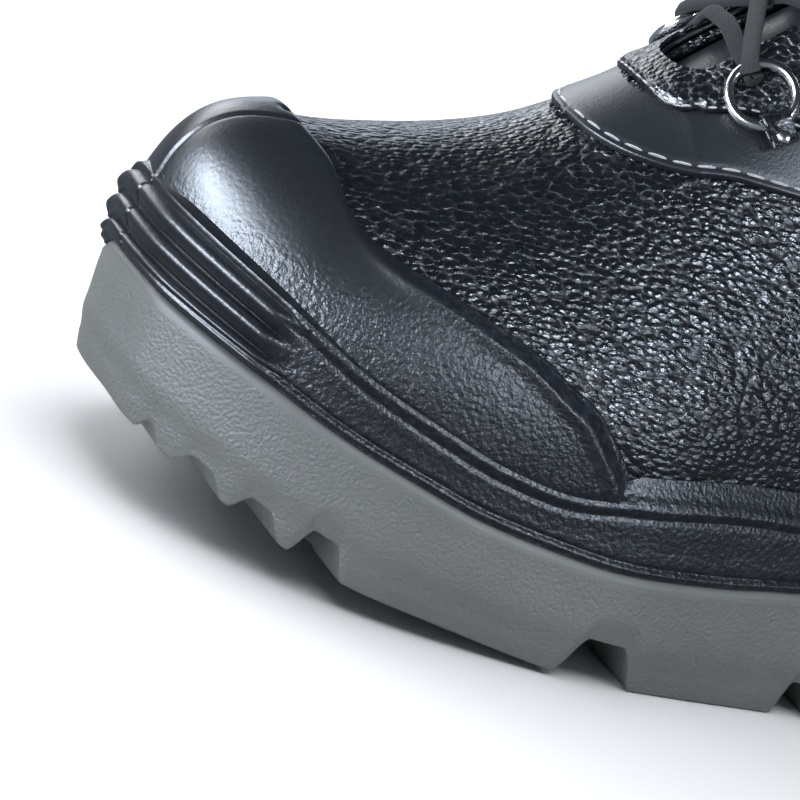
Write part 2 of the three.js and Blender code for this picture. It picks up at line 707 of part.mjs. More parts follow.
// Region of the collar: everything above its seam line, behind the facing
function collarZone(clearance) {
  const { front, base } = sectionAt(rowOf.collar);
  const along = front.clone().sub(base).normalize();
  const up = new THREE.Vector2(-along.y, along.x);
  const reach = ballWidth;
  const corners = [[base, -1, clearance], [front, 1, clearance], [front, 1, reach], [base, -1, reach]];
  const outline = corners.map(([from, way, rise]) => {
    const place = from.clone().addScaledVector(along, way * reach).addScaledVector(up, rise);
    return { x: place.x, z: place.y };
  });
  return sidePrism(outline).subtract(facingPrism(clearance));
}

function makeUpper() {
  const shell = fanBody({}).subtract(
    fanBody({ offset: -wall, drop: clear, lift: clear, steps: liningSteps }),
  );
  return largest(shell.subtract(throatCut()).subtract(collarZone(0)));
}

function makeAnklePanel() {
  const outline = panelEdgeLine.map(({ x, rise }) => ({ x: ux(x), z: rise * instepHeight }));
  const topZ = shaftHeight + clear;
  outline.push({ x: outline[outline.length - 1].x, z: topZ });
  outline.push({ x: outline[0].x, z: topZ });
  const shell = fanBody({ offset: gap + panelThickness }).subtract(
    fanBody({ offset: gap, lift: clear }),
  );
  return largest(shell.intersect(sidePrism(outline)).subtract(throatCut()).subtract(collarZone(0)));
}

function makeFacing() {
  const low = 2 * gap + panelThickness;
  const shell = fanBody({ offset: low + panelThickness }).subtract(
    fanBody({ offset: low, lift: clear }),
  );
  return largest(shell.intersect(facingPrism()).subtract(throatCut()));
}

function makeCollar() {
  const from = rowOf.collar - 1;
  const puff = (row) => {
    const t = clamp01((row - rowOf.collar) / (fanEnd - rowOf.collar));
    return Math.sin(Math.PI * mix(0.12, 0.86, t)) ** 0.6;
  };
  const outer = fanBody({ offset: (row) => collarBulge * puff(row), from, rows: 2 * fanRows });
  const inner = fanBody({
    offset: (row) => -wall - collarPad * puff(row), from: from - 1, rows: 2 * fanRows, lift: clear,
  });
  return largest(outer.subtract(inner).intersect(collarZone(gap)).subtract(tongueBand(gap)));
}

function makeTongue() {
  const top = -wall - 2 * gap;
  const shell = fanBody({ offset: top, steps: liningSteps, lift: tongueRise }).subtract(
    fanBody({ offset: top - tongueThickness, steps: liningSteps, lift: clear }),
  );
  return largest(shell.intersect(tongueBand(0)));
}

// A frame on the surface at a row of the fan and a distance from the ridge across the boot
function surfaceFrame(row, y, side) {
  let low = 0.5;
  let high = 1;
  const ridge = pointOn(row, 1, 1).y;
  for (let i = 0; i < 30; i += 1) {
    const h = (low + high) / 2;
    if (Math.abs(pointOn(row, h, side).y - ridge) > y) low = h;
    else high = h;
  }
  const h = (low + high) / 2;
  const origin = pointOn(row, h, side);
  const along = pointOn(row + 0.2, h, side).sub(pointOn(row - 0.2, h, side)).normalize();
  const down = pointOn(row, h - 0.02, side).sub(pointOn(row, h + 0.02, side)).normalize();
  const normal = along.clone().cross(down).multiplyScalar(-side).normalize();
  const sideways = along.clone().cross(normal).multiplyScalar(side).normalize();
  return { origin, along, sideways, normal };
}
const surface = new THREE.Matrix4();
function placed(geometry, { origin, along, sideways, normal }) {
  surface.makeBasis(along, sideways, normal).setPosition(origin);
  return geometry.applyMatrix4(surface);
}

const facingTop = 2 * gap + 2 * panelThickness;
const ringSeat = facingTop + gap + ringWire / 2;
const ringSetback = 1.6; // of each ring from the edge of the throat
const ringOut = throatWidth / 2 + ringRadius + ringSetback;
const ringSink = [0.6, 0.3, 0.1, 0]; // rings on the bend of the instep sit deeper
// Rings are evenly spaced along the ridge
function ringRow(pair) {
  const steps = 60;
  const rows = Array.from({ length: steps + 1 }, (_, i) => mix(rowOf.firstRing, rowOf.lastRing, i / steps));
  const runs = [0];
  for (let i = 1; i <= steps; i += 1) {
    runs.push(runs[i - 1] + sectionAt(rows[i]).front.distanceTo(sectionAt(rows[i - 1]).front));
  }
  const target = (runs[steps] * pair) / (ringPairs - 1);
  const i = Math.min(runs.findIndex((run) => run >= target - 1e-9), steps);
  return i === 0 ? rows[0] : mix(rows[i - 1], rows[i], (target - runs[i - 1]) / (runs[i] - runs[i - 1]));
}
function ringFrame(pair, side) {
  const frame = surfaceFrame(ringRow(pair), ringOut, side);
  frame.origin.addScaledVector(frame.normal, -ringSink[pair]);
  return frame;
}
function makeRing(frame) {
  const torus = new THREE.TorusGeometry(ringRadius, ringWire / 2, 6, 12);
  torus.translate(0, 0, ringSeat);
  return solidOf(placed(torus, frame));
}

// Holder: a strap folded over the outer side of the ring and held flat on the facing
function makeTab(frame) {
  const turns = 5;
  const bow = tabWidth ** 2 / (8 * ringRadius); // the ring curves away within the strap's width
  const clear = (ringWire / 2 + bow / 2 + gap) / Math.cos(Math.PI / 2 / turns);
  const sheet = 1;
  const hole = new THREE.Vector2(ringRadius - bow / 2, ringSeat);
  const foot = facingTop + gap;
  const profile = new THREE.Shape();
  profile.moveTo(hole.x + 2.9 * clear, foot);
  profile.lineTo(hole.x + 2.9 * clear, foot + 2 * sheet);
  for (let i = 0; i <= turns; i += 1) {
    const angle = Math.PI * mix(0.3, 1, i / turns);
    profile.lineTo(hole.x + (clear + sheet) * Math.cos(angle), hole.y + (clear + sheet) * Math.sin(angle));
  }
  for (let i = turns; i >= 0; i -= 1) {
    const angle = Math.PI * mix(-0.1, 1, i / turns);
    profile.lineTo(hole.x + clear * Math.cos(angle), hole.y + clear * Math.sin(angle));
  }
  profile.lineTo(hole.x + clear, foot);
  profile.closePath();
  const strap = new THREE.ExtrudeGeometry(profile, { depth: tabWidth, bevelEnabled: false });
  strap.translate(0, 0, -tabWidth / 2);
  strap.rotateX(Math.PI / 2);
  strap.rotateZ(Math.PI / 2);
  return solidOf(placed(strap, frame));
}

// Lace over the throat, from ring to ring
const laceHeight = facingTop + ringWire / 2 + gap;
function laceRun(fromPair, toPair) {
  const reach = ringOut - ringRadius + ringWire / 3;
  const points = [];
  const steps = 4;
  for (let i = 0; i <= steps; i += 1) {
    const t = i / steps;
    const side = t < 0.5 ? 1 : -1;
    const away = Math.abs(1 - 2 * t) * reach;
    const row = mix(ringRow(fromPair), ringRow(toPair), t);
    const frame = surfaceFrame(row, Math.max(away, 0.5), side);
    points.push(frame.origin.addScaledVector(frame.normal, laceHeight + laceDiameter / 2));
  }
  return bar(points, laceDiameter / 2, 6);
}

const boot = new THREE.Group();
const tolerance = 0.055; // facets flatter than this are joined
function addPiece(name, solid, colour, roughness, metalness = 0) {
  const material = new THREE.MeshStandardMaterial({ color: colour, roughness, metalness });
  const mesh = new THREE.Mesh(geometryOf(solid.simplify(tolerance)), material);
  mesh.name = name;
  boot.add(mesh);
}

addPiece('outsole', makeOutsole(), colours.outsole, 0.75);
addPiece('midsole', makeMidsole(), colours.midsole, 0.5);
addPiece('insole', makeInsole(), colours.lining, 0.9);
addPiece('upper', makeUpper(), colours.leather, 0.55);
addPiece('ankle_panel', makeAnklePanel(), colours.smooth, 0.45);
addPiece('facing', makeFacing(), colours.leather, 0.55);
addPiece('collar', makeCollar(), colours.smooth, 0.6);
addPiece('tongue', makeTongue(), colours.leather, 0.6);
for (let pair = 0; pair < ringPairs; pair += 1) {
  for (const [name, side] of [['lateral', 1], ['medial', -1]]) {
    const frame = ringFrame(pair, side);
    addPiece(`ring_${name}_${pair + 1}`, makeRing(frame), colours.nickel, 0.25, 1);
    addPiece(`tab_${name}_${pair + 1}`, makeTab(frame), colours.leather, 0.6);
  }
}
let lace = laceRun(0, 0);
for (let pair = 0; pair < ringPairs - 1; pair += 1) {
  lace = lace.add(laceRun(pair, pair + 1)).add(laceRun(pair + 1, pair));
}
addPiece('lace_crossings', largest(lace), colours.lace, 0.9);

export default boot;
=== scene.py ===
import json
import math

import bpy
import numpy as np
from mathutils import Matrix, Vector

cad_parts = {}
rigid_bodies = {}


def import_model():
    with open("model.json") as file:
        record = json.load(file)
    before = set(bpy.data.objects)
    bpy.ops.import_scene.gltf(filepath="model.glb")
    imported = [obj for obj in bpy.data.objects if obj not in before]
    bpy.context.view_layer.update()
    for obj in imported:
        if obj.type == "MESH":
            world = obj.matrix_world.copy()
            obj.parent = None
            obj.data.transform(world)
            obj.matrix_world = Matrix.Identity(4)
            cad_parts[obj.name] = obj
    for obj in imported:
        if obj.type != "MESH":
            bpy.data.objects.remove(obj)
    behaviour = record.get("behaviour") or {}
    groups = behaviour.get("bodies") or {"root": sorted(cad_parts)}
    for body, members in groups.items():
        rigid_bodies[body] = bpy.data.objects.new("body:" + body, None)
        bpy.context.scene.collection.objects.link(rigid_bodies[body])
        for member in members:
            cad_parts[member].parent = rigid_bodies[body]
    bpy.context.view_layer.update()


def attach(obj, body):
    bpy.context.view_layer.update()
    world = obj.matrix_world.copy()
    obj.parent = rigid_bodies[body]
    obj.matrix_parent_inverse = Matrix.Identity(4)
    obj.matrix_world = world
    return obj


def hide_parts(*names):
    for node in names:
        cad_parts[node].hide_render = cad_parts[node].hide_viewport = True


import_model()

millimetre = 0.001


# Lines of the boot, in millimetres
bootForm = {
    "length": 300,
    "ballWidth": 112,
    "behind": 39,  # outsole behind the origin
    "heelBed": 30,
    "ballBed": 18,
    "spring": 18.3,
    "instep": 119,
    "shaft": 185,
    "back": 168,
    "shaftWidth": 77,
    "junction": 26.5,
    "rim": 43,
    "lug": 9,
    "wall": 2.2,
    "setback": 4,
    "gap": 0.3,
    "panel": 1.3,
    "throatHalf": 9,
}

# share of the length, centre line and half width
planLine = [
    (0, 0, 0.375), (0.12, 0, 0.375), (0.3, 0.02, 0.36), (0.42, 0.03, 0.38), (0.55, 0.03, 0.445),
    (0.66, 0.02, 0.495), (0.78, -0.005, 0.495), (0.9, -0.03, 0.47), (1, -0.05, 0.44),
]
# share of the length, junction of grey and black, rim, footbed
levelLine = [
    (0, 1.4, 1.4, 1), (0.15, 1.28, 1.26, 0.86), (0.35, 1.19, 1.12, 0.42), (0.5, 1.09, 1.07, 0.12),
    (0.56, 1.03, 1.056, 0.04), (0.65, 0.995, 0.985, 0), (0.71, 1.03, 0.923, 0), (0.76, 1.085, 0.958, 0.03),
    (0.81, 1.19, 1.035, 0.06), (0.87, 1.32, 1.14, 0.1), (0.93, 1.5, 1.3, 0.15), (1, 1.7, 1.465, 0.25),
]
springLine = [
    (0.591, 0), (0.664, 0.066), (0.77, 0.224), (0.829, 0.295), (0.878, 0.437), (0.92, 0.612),
    (0.958, 0.787), (1, 1),
]
backLine = [(0, 0.006), (0.16, -0.004), (0.3, -0.003), (0.5, 0.009), (0.75, 0.014), (1, 0.006)]
# row, ridge point, base point, depth of the rounding at the ridge and its squareness
fanRows = [
    (0, 1, 0.504, 0.984, 0, 0.26, 2.1), (1, 0.996, 0.567, 0.979, 0, 0.28, 2.1),
    (2, 0.986, 0.628, 0.967, 0, 0.3, 2.1), (3, 0.966, 0.672, 0.947, 0, 0.32, 2.1),
    (4, 0.934, 0.697, 0.921, 0, 0.34, 2.1), (5, 0.892, 0.711, 0.884, 0, 0.36, 2.1),
    (6, 0.846, 0.738, 0.842, 0, 0.39, 2.1), (7, 0.798, 0.776, 0.79, 0, 0.42, 2.1),
    (8, 0.753, 0.832, 0.735, 0, 0.47, 2.05), (9, 0.709, 0.918, 0.668, 0, 0.52, 2),
    (10, 0.675, 1, 0.582, 0, 0.56, 2), (11, 0.64, 1.152, 0.479, 0, 0.6, 2),
    (12, 0.61, 1.288, 0.36, 0, 0.62, 2), (13, 0.582, 1.409, 0.24, 0, 0.62, 2),
    (14, 0.558, 1.53, 0.12, 0, 0.6, 2), (15, 0.538, 1.621, 0.035, 0, 0.58, 2),
    (16, 0.52, 1.712, 0, 0, 0.56, 2), (17, 0.503, 1.795, 0, 0.25, 0.54, 2),
    (18, 0.49, 1.864, 0, 0.5, 0.52, 2), (19, 0.476, 1.939, 0, 0.76, 0.5, 2),
    (20, 0.462, 2, 0, 1, 0.5, 2),
]
heelRow = 16
lastRow = 20
# rise and share of the upper's length, from the band up to the ridge
capBorder = [
    (0.3, 0.65), (0.395, 0.672), (0.455, 0.698), (0.486, 0.713), (0.507, 0.735), (0.538, 0.766),
    (0.562, 0.805), (0.58, 0.84), (0.588, 0.862), (0.606, 0.89), (0.63, 0.904), (0.674, 0.914),
    (0.71, 0.932), (0.8, 0.934),
]
# share of the upper's length and rise
panelBorder = [
    (-0.1, 0.85), (0.22, 0.862), (0.38, 0.89), (0.52, 0.915), (0.628, 0.9), (0.685, 0.869),
    (0.72, 0.861), (0.744, 0.868), (0.76, 0.93),
]
# row and depth below the ridge
facingBorder = [
    (9.45, -0.02), (9.6, 0.02), (10, 0.042), (10.45, 0.062), (10.9, 0.1), (11.25, 0.135), (11.7, 0.18),
    (13, 0.195), (17, 0.205), (21, 0.215),
]
throatRow = 10.1
# front, rear, depth, lean and reach of each gap between lugs
lugGaps = [
    (0.98, 0.965, 0.34, 0.4, 0.3), (0.957, 0.922, 0.44, 0.34, 0.32), (0.918, 0.88, 0.55, 0.34, 0.34),
    (0.874, 0.834, 0.78, 0.3, 0.36), (0.664, 0.591, 1.05, 0.28, 0.52), (0.455, 0.415, 0.9, 0.28, 0.34),
    (0.375, 0.285, 1.1, 0.24, 0.52), (0.2, 0.16, 0.8, 0.28, 0.34), (0.085, 0.05, 0.6, 0.28, 0.3),
]


def mix(a, b, t):
    return a + (b - a) * t


def smooth(t):
    t = np.clip(t, 0, 1)
    return t * t * (3 - 2 * t)


def rounded(t, power):
    return (1 - (1 - np.clip(t, 0, 1)) ** power) ** (1 / power)


def bump(distance, width):
    return np.exp(-((distance / width) ** 2))


def curve(table, at, column=1):
    places = np.array([row[0] for row in table], float)
    values = np.array([row[column] for row in table], float)
    at = np.clip(at, places[0], places[-1])
    slopes = np.diff(values) / np.diff(places)
    product = slopes[:-1] * slopes[1:]
    total = slopes[:-1] + slopes[1:]
    inner = np.where(product > 0, 2 * product / np.where(total == 0, 1, total), 0)
    tangents = np.concatenate([slopes[:1], inner, slopes[-1:]])
    i = np.clip(np.searchsorted(places, at) - 1, 0, len(places) - 2)
    span = places[i + 1] - places[i]
    t = (at - places[i]) / span
    start = values[i] * (2 * t**3 - 3 * t**2 + 1) + span * tangents[i] * (t**3 - 2 * t**2 + t)
    end = values[i + 1] * (3 * t**2 - 2 * t**3) + span * tangents[i + 1] * (t**3 - t**2)
    return start + end


def shareOf(x):
    return (x + bootForm["behind"]) / bootForm["length"]


def centreOf(share):
    return curve(planLine, share, 1) * bootForm["ballWidth"]


def halfOf(share):
    return curve(planLine, share, 2) * bootForm["ballWidth"]


def springOf(share):
    return curve(springLine, share) * bootForm["spring"]


def tuckOf(share, side):
    return np.where(side < 0, smooth((share - 0.86) / 0.1), smooth((share - 0.985) / 0.015))


# On the inner side of the toe the junction and the rim lie lower
innerToe = {"junctionDrop": 3.5, "rimDrop": 3.2, "easing": 0.012}


def junctionOf(share, side):
    eased = smooth((1 - share) / innerToe["easing"]) * tuckOf(share, side)
    drop = np.where(side < 0, innerToe["junctionDrop"] * eased, 0)
    return bootForm["junction"] * curve(levelLine, share, 1) - drop


def rimOf(share, side):
    eased = smooth((1 - share) / innerToe["easing"]) * tuckOf(share, side)
    drop = np.where(side < 0, innerToe["rimDrop"] * eased, 0)
    return bootForm["rim"] * curve(levelLine, share, 2) - drop


def bedOf(share):
    climb = np.where(share < 0.65, bootForm["heelBed"] - bootForm["ballBed"], bootForm["spring"])
    return bootForm["ballBed"] + climb * curve(levelLine, share, 3) + springOf(share) * 0.32


def upperX(share):
    start = bootForm["setback"] - bootForm["behind"]
    return start + share * (bootForm["length"] - 2 * bootForm["setback"])


def backOf(z):
    rise = np.clip((z - bootForm["heelBed"]) / (bootForm["back"] - bootForm["heelBed"]), 0, 1)
    return upperX(0) + curve(backLine, rise) * bootForm["length"]


def sectionOf(row):
    rise = curve(fanRows, row, 2)
    frontX = upperX(curve(fanRows, row, 1))
    frontZ = np.where(
        rise <= 1, rise * bootForm["instep"], mix(bootForm["instep"], bootForm["shaft"], rise - 1)
    )
    baseX = upperX(curve(fanRows, row, 3))
    backZ = mix(bootForm["heelBed"], bootForm["back"], curve(fanRows, row, 4))
    baseZ = np.where(row >= heelRow, backZ, bedOf(shareOf(baseX)))
    baseX = np.maximum(np.where(row >= heelRow, backOf(baseZ), baseX), backOf(baseZ))
    return frontX, frontZ, baseX, baseZ


# Shares of the instep's height and of the length that shape the last's cross-sections
lastShape = {
    "shaftFrom": 0.42, "shaftOver": 0.63, "toeRun": 0.28, "toePower": 2.35, "heelRun": 0.14,
    "heelPower": 2.2, "tuck": 0.89, "tuckRise": 0.2, "ridgeShift": -4,
}


# A point of the last: row of the fan, and turn from the ridge at 0 to the bottom edges at 1 and -1
def onLast(row, turn):
    row, turn = np.broadcast_arrays(np.asarray(row, float), np.asarray(turn, float))
    side = np.where(turn < 0, -1.0, 1.0)
    h = np.cos(np.pi / 2 * np.clip(turn, -1, 1)) ** 2
    frontX, frontZ, baseX, baseZ = sectionOf(row)
    x = mix(baseX, frontX, h)
    z = mix(baseZ, frontZ, h)
    share = shareOf(x)
    instep = bootForm["instep"]
    high = smooth((z - lastShape["shaftFrom"] * instep) / (lastShape["shaftOver"] * instep))
    toe = rounded((upperX(1) - x) / (lastShape["toeRun"] * bootForm["length"]), lastShape["toePower"])
    heel = rounded((x - backOf(z)) / (lastShape["heelRun"] * bootForm["length"]), lastShape["heelPower"])
    tuck = mix(lastShape["tuck"], 1, smooth((z - bedOf(share)) / (lastShape["tuckRise"] * instep)))
    half = mix((halfOf(share) - bootForm["setback"]) * tuck, bootForm["shaftWidth"] / 2, high) * toe * heel
    centre = mix(centreOf(share), 0, high)
    ridge = centre + mix(lastShape["ridgeShift"], 0, high) * toe
    depth = (1 - h) * np.hypot(frontX - baseX, frontZ - baseZ)
    down = rounded(depth / (curve(fanRows, row, 5) * instep), curve(fanRows, row, 6))
    return np.stack([x, mix(ridge, centre + side * half, down), z], -1)


def outward(row, turn):
    row, turn = np.broadcast_arrays(np.asarray(row, float), np.asarray(turn, float))
    along = onLast(row + 0.05, turn) - onLast(row - 0.05, turn)
    down = onLast(row, turn + 0.012) - onLast(row, turn - 0.012)
    normal = np.cross(down, along)
    atBack = (np.abs(turn) > 0.999) & (row >= heelRow)
    normal[..., 1] = np.where(atBack, 0, normal[..., 1])
    return normal / np.maximum(np.linalg.norm(normal, axis=-1, keepdims=True), 1e-9)


def turnAt(h):
    return 2 / np.pi * np.arccos(np.sqrt(np.clip(h, 0, 1)))


# Borders of the pieces on the last are kept as the turn at each row
def firstCrossing(inside, heights):
    turns = []
    for line in inside:
        out = np.where(line < 0)[0]
        if len(out) == 0:
            turns.append(heights[-1])
        elif out[0] == 0:
            turns.append(heights[0])
        else:
            k = out[0]
            turns.append(mix(heights[k - 1], heights[k], line[k - 1] / (line[k - 1] - line[k])))
    return turnAt(np.array(turns))


def lineOfRow(rows, heights):
    frontX, frontZ, baseX, baseZ = sectionOf(rows)
    x = mix(baseX[:, None], frontX[:, None], heights)
    z = mix(baseZ[:, None], frontZ[:, None], heights)
    return x, z


def capTurn(rows):
    heights = np.linspace(0, 1, 801)
    x, z = lineOfRow(rows, heights)
    return firstCrossing(x - upperX(curve(capBorder, z / bootForm["instep"])), heights)


def panelTurn(rows):
    heights = np.linspace(1, 0, 801)
    x, z = lineOfRow(rows, heights)
    share = (x - upperX(0)) / (upperX(1) - upperX(0))
    return firstCrossing(z - curve(panelBorder, share) * bootForm["instep"], heights)


def facingTable():
    at = np.linspace(facingBorder[0][0], lastRow, 400)
    frontX, frontZ, _, _ = sectionOf(at)
    nextX, nextZ, _, _ = sectionOf(np.minimum(at + 0.1, lastRow))
    lastX, lastZ, _, _ = sectionOf(at - 0.1)
    size = np.hypot(nextX - lastX, nextZ - lastZ)
    depth = curve(facingBorder, at) * bootForm["instep"]
    edgeX = frontX - (nextZ - lastZ) / size * depth
    edgeZ = frontZ + (nextX - lastX) / size * depth
    rows = np.linspace(9.4, lastRow, 800)
    heights = []
    for row in rows:
        fx, fz, bx, bz = (float(value) for value in sectionOf(row))
        off = (edgeX - bx) * (fz - bz) - (edgeZ - bz) * (fx - bx)
        change = np.where(np.sign(off[:-1]) != np.sign(off[1:]))[0]
        if len(change) == 0:
            heights.append(heights[-1] if row > 12 else 1.0)
            continue
        k = change[-1]
        t = off[k] / (off[k] - off[k + 1])
        x = mix(edgeX[k], edgeX[k + 1], t)
        z = mix(edgeZ[k], edgeZ[k + 1], t)
        heights.append(((x - bx) * (fx - bx) + (z - bz) * (fz - bz)) / ((fx - bx) ** 2 + (fz - bz) ** 2))
    return rows, turnAt(np.array(heights))


facingRows, facingTurns = facingTable()


def facingTurn(rows):
    return np.interp(rows, facingRows, facingTurns)


def ridgeRun(rows):
    at = np.linspace(throatRow, lastRow, 300)
    frontX, frontZ, _, _ = sectionOf(at)
    run = np.concatenate([[0], np.cumsum(np.hypot(np.diff(frontX), np.diff(frontZ)))])
    return np.interp(rows, at, run)


def turnAtWidth(rows, width):
    turns = np.linspace(0, 0.7, 200)
    places = onLast(rows[:, None], turns)
    across = places[:, :, 1] - places[:, :1, 1]
    return np.array([np.interp(w, np.maximum.accumulate(line), turns) for w, line in zip(width, across)])


def throatTurn(rows):
    half = bootForm["throatHalf"]
    width = half * rounded(ridgeRun(rows) / half, 2) * (rows > throatRow)
    return np.where(rows > throatRow, turnAtWidth(rows, width), 0)


def deselectAll():
    for thing in bpy.context.view_layer.objects:
        thing.select_set(False)


# A grid primitive whose corners are moved to the given places
def grid(name, places):
    rows, columns = places.shape[:2]
    deselectAll()
    bpy.ops.mesh.primitive_grid_add(x_subdivisions=columns - 1, y_subdivisions=rows - 1, size=2)
    piece = bpy.context.object
    piece.name = name
    piece.data.name = name
    flat = np.empty(len(piece.data.vertices) * 3)
    piece.data.vertices.foreach_get("co", flat)
    flat = flat.reshape(-1, 3)
    column = np.rint((flat[:, 0] + 1) / 2 * (columns - 1)).astype(int)
    row = np.rint((flat[:, 1] + 1) / 2 * (rows - 1)).astype(int)
    piece.data.vertices.foreach_set("co", (places[row, column] * millimetre).ravel())
    piece.data.update()
    return piece


def join(name, parts):
    deselectAll()
    for part in parts:
        part.select_set(True)
    bpy.context.view_layer.objects.active = parts[0]
    if len(parts) > 1:
        bpy.ops.object.join()
    piece = bpy.context.object
    piece.name = name
    piece.data.name = name
    return piece


# Merges the seams and turns every face outwards
def close(piece, merge=0.00002, angle=50):
    deselectAll()
    piece.select_set(True)
    bpy.context.view_layer.objects.active = piece
    bpy.ops.object.mode_set(mode="EDIT")
    bpy.ops.mesh.select_all(action="SELECT")
    bpy.ops.mesh.remove_doubles(threshold=merge)
    bpy.ops.mesh.dissolve_degenerate(threshold=merge)
    bpy.ops.mesh.normals_make_consistent(inside=False)
    bpy.ops.object.mode_set(mode="OBJECT")
    bpy.ops.object.shade_smooth_by_angle(angle=math.radians(angle))
    return piece


def applyModifier(piece, kind, **settings):
    deselectAll()
    piece.select_set(True)
    bpy.context.view_layer.objects.active = piece
    made = piece.modifiers.new(kind.title(), kind)
    for key, value in settings.items():
        setattr(made, key, value)
    bpy.ops.object.modifier_apply(modifier=made.name)


def setMask(piece, name, values):
    layer = piece.data.attributes.new(name, "FLOAT", "POINT")
    layer.data.foreach_set("value", np.asarray(values, float))


def cornersOf(piece):
    flat = np.empty(len(piece.data.vertices) * 3)
    piece.data.vertices.foreach_get("co", flat)
    return flat.reshape(-1, 3) / millimetre


def finish(piece, material, replaced=(), second=None):
    piece.data.materials.clear()
    piece.data.materials.append(material)
    if second is not None:
        piece.data.materials.append(second)
    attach(piece, "root")
    if replaced:
        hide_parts(*replaced)
    return piece


# Rows that lie closer together where a border meets the ridge
def gathered(first, last, count):
    return first + (last - first) * np.linspace(0, 1, count) ** 2.2


# Turns at even steps along the surface between two borders
def spread(rows, start, end, parts):
    dense = np.linspace(0, 1, 97)
    turns = start[:, None] + (end - start)[:, None] * dense
    places = onLast(rows[:, None], turns)
    steps = np.linalg.norm(np.diff(places, axis=1), axis=2)
    runs = np.concatenate([np.zeros((len(rows), 1)), np.cumsum(steps, axis=1)], axis=1)
    return np.array([np.interp(parts * run[-1], run, line) for run, line in zip(runs, turns)])


def distanceTo(places, border):
    result = np.empty(places.shape[:2])
    for i, line in enumerate(places):
        result[i] = np.min(np.linalg.norm(line[:, None] - border[None], axis=2), axis=1)
    return result


# Two halves of a sheet that lies on the last, joined at the ridge and down the back of the heel
def layOnLast(name, rows, start, end, parts, rise, border=None, closeToe=False):
    halves = []
    for side, word in ((1, "out"), (-1, "in")):
        turns = spread(rows, start, end, parts) * side
        row = np.broadcast_to(rows[:, None], turns.shape)
        places = onLast(row, turns)
        away = distanceTo(places, border) if border is not None else np.zeros(turns.shape)
        height = rise(row, turns, places, away)
        places = places + outward(row, turns) * height[..., None]
        if closeToe:
            places[0, :, 1] = onLast(0, 0)[1]
        halves.append(grid(name + "_" + word, places if side > 0 else places[:, ::-1]))
    return close(join(name, halves))


# A closed bar of the given cross-section along a path; the frames give its two sides
def sweep(name, path, across, up, outline, angle=50):
    ends = np.concatenate([path[:1], path, path[-1:]])
    across = np.concatenate([across[:1], across, across[-1:]])
    up = np.concatenate([up[:1], up, up[-1:]])
    loop = np.concatenate([outline, outline[:1]])
    places = ends[:, None] + across[:, None] * loop[None, :, :1] + up[:, None] * loop[None, :, 1:]
    places[0] = path[0]
    places[-1] = path[-1]
    return close(grid(name, places), angle=angle)


def roundedBox(width, height, radius, steps=4):
    corners = []
    for k, (sx, sy) in enumerate([(1, 1), (-1, 1), (-1, -1), (1, -1)]):
        for i in range(steps + 1):
            a = math.pi / 2 * (k + i / steps)
            x = sx * (width / 2 - radius) + radius * math.cos(a)
            y = sy * (height / 2 - radius) + radius * math.sin(a)
            corners.append((x, y))
    return np.array(corners)


def oval(width, height, count):
    a = np.linspace(0, 2 * np.pi, count, endpoint=False)
    return np.stack([width / 2 * np.cos(a), height / 2 * np.sin(a)], -1)


def evenly(path, step):
    run = np.concatenate([[0], np.cumsum(np.linalg.norm(np.diff(path, axis=0), axis=1))])
    count = max(2, int(round(run[-1] / step)) + 1)
    at = np.linspace(0, run[-1], count)
    return np.stack([np.interp(at, run, path[:, k]) for k in range(3)], -1)


def throughPoints(points, steps=14):
    points = np.array(points, float)
    padded = np.concatenate([[2 * points[0] - points[1]], points, [2 * points[-1] - points[-2]]])
    result = []
    for i in range(1, len(padded) - 2):
        a, b, c, d = padded[i - 1: i + 3]
        for t in np.linspace(0, 1, steps, endpoint=False):
            result.append(
                0.5 * (2 * b + (c - a) * t + (2 * a - 5 * b + 4 * c - d) * t**2
                       + (3 * b - a - 3 * c + d) * t**3)
            )
    result.append(points[-1])
    return np.array(result)


# Adds a shader node, and links or sets its inputs by name
def addNode(tree, kind, settings=None, **inputs):
    made = tree.nodes.new(kind)
    for key, value in (settings or {}).items():
        setattr(made, key, value)
    for key, value in inputs.items():
        socket = made.inputs[key.replace("_", " ")]
        if isinstance(value, bpy.types.NodeSocket):
            tree.links.new(value, socket)
        else:
            socket.default_value = value
    return made


def arithmetic(tree, operation, first, second=0.0, third=0.0):
    made = tree.nodes.new("ShaderNodeMath")
    made.operation = operation
    for socket, value in zip(made.inputs, (first, second, third)):
        if isinstance(value, bpy.types.NodeSocket):
            tree.links.new(value, socket)
        else:
            socket.default_value = value
    return made.outputs[0]


def mapRange(tree, value, low, high, toLow=0.0, toHigh=1.0, kind="SMOOTHSTEP"):
    made = addNode(tree, "ShaderNodeMapRange", {"interpolation_type": kind, "clamp": True})
    tree.links.new(value, made.inputs["Value"])
    for key, number in (("From Min", low), ("From Max", high), ("To Min", toLow), ("To Max", toHigh)):
        made.inputs[key].default_value = number
    return made.outputs["Result"]


def blendColours(tree, mask, first, second):
    made = tree.nodes.new("ShaderNodeMix")
    made.data_type = "RGBA"
    tree.links.new(mask, made.inputs[0])
    for socket, value in ((made.inputs[6], first), (made.inputs[7], second)):
        if isinstance(value, bpy.types.NodeSocket):
            tree.links.new(value, socket)
        else:
            socket.default_value = (*value, 1)
    return made.outputs[2]


def newGroup(name, inputs, outputs):
    tree = bpy.data.node_groups.new(name, "ShaderNodeTree")
    for socket, kind, value in inputs:
        made = tree.interface.new_socket(name=socket, in_out="INPUT", socket_type=kind)
        if value is not None:
            made.default_value = value
    for socket in outputs:
        tree.interface.new_socket(name=socket, in_out="OUTPUT", socket_type="NodeSocketFloat")
    return tree, tree.nodes.new("NodeGroupInput").outputs, tree.nodes.new("NodeGroupOutput").inputs


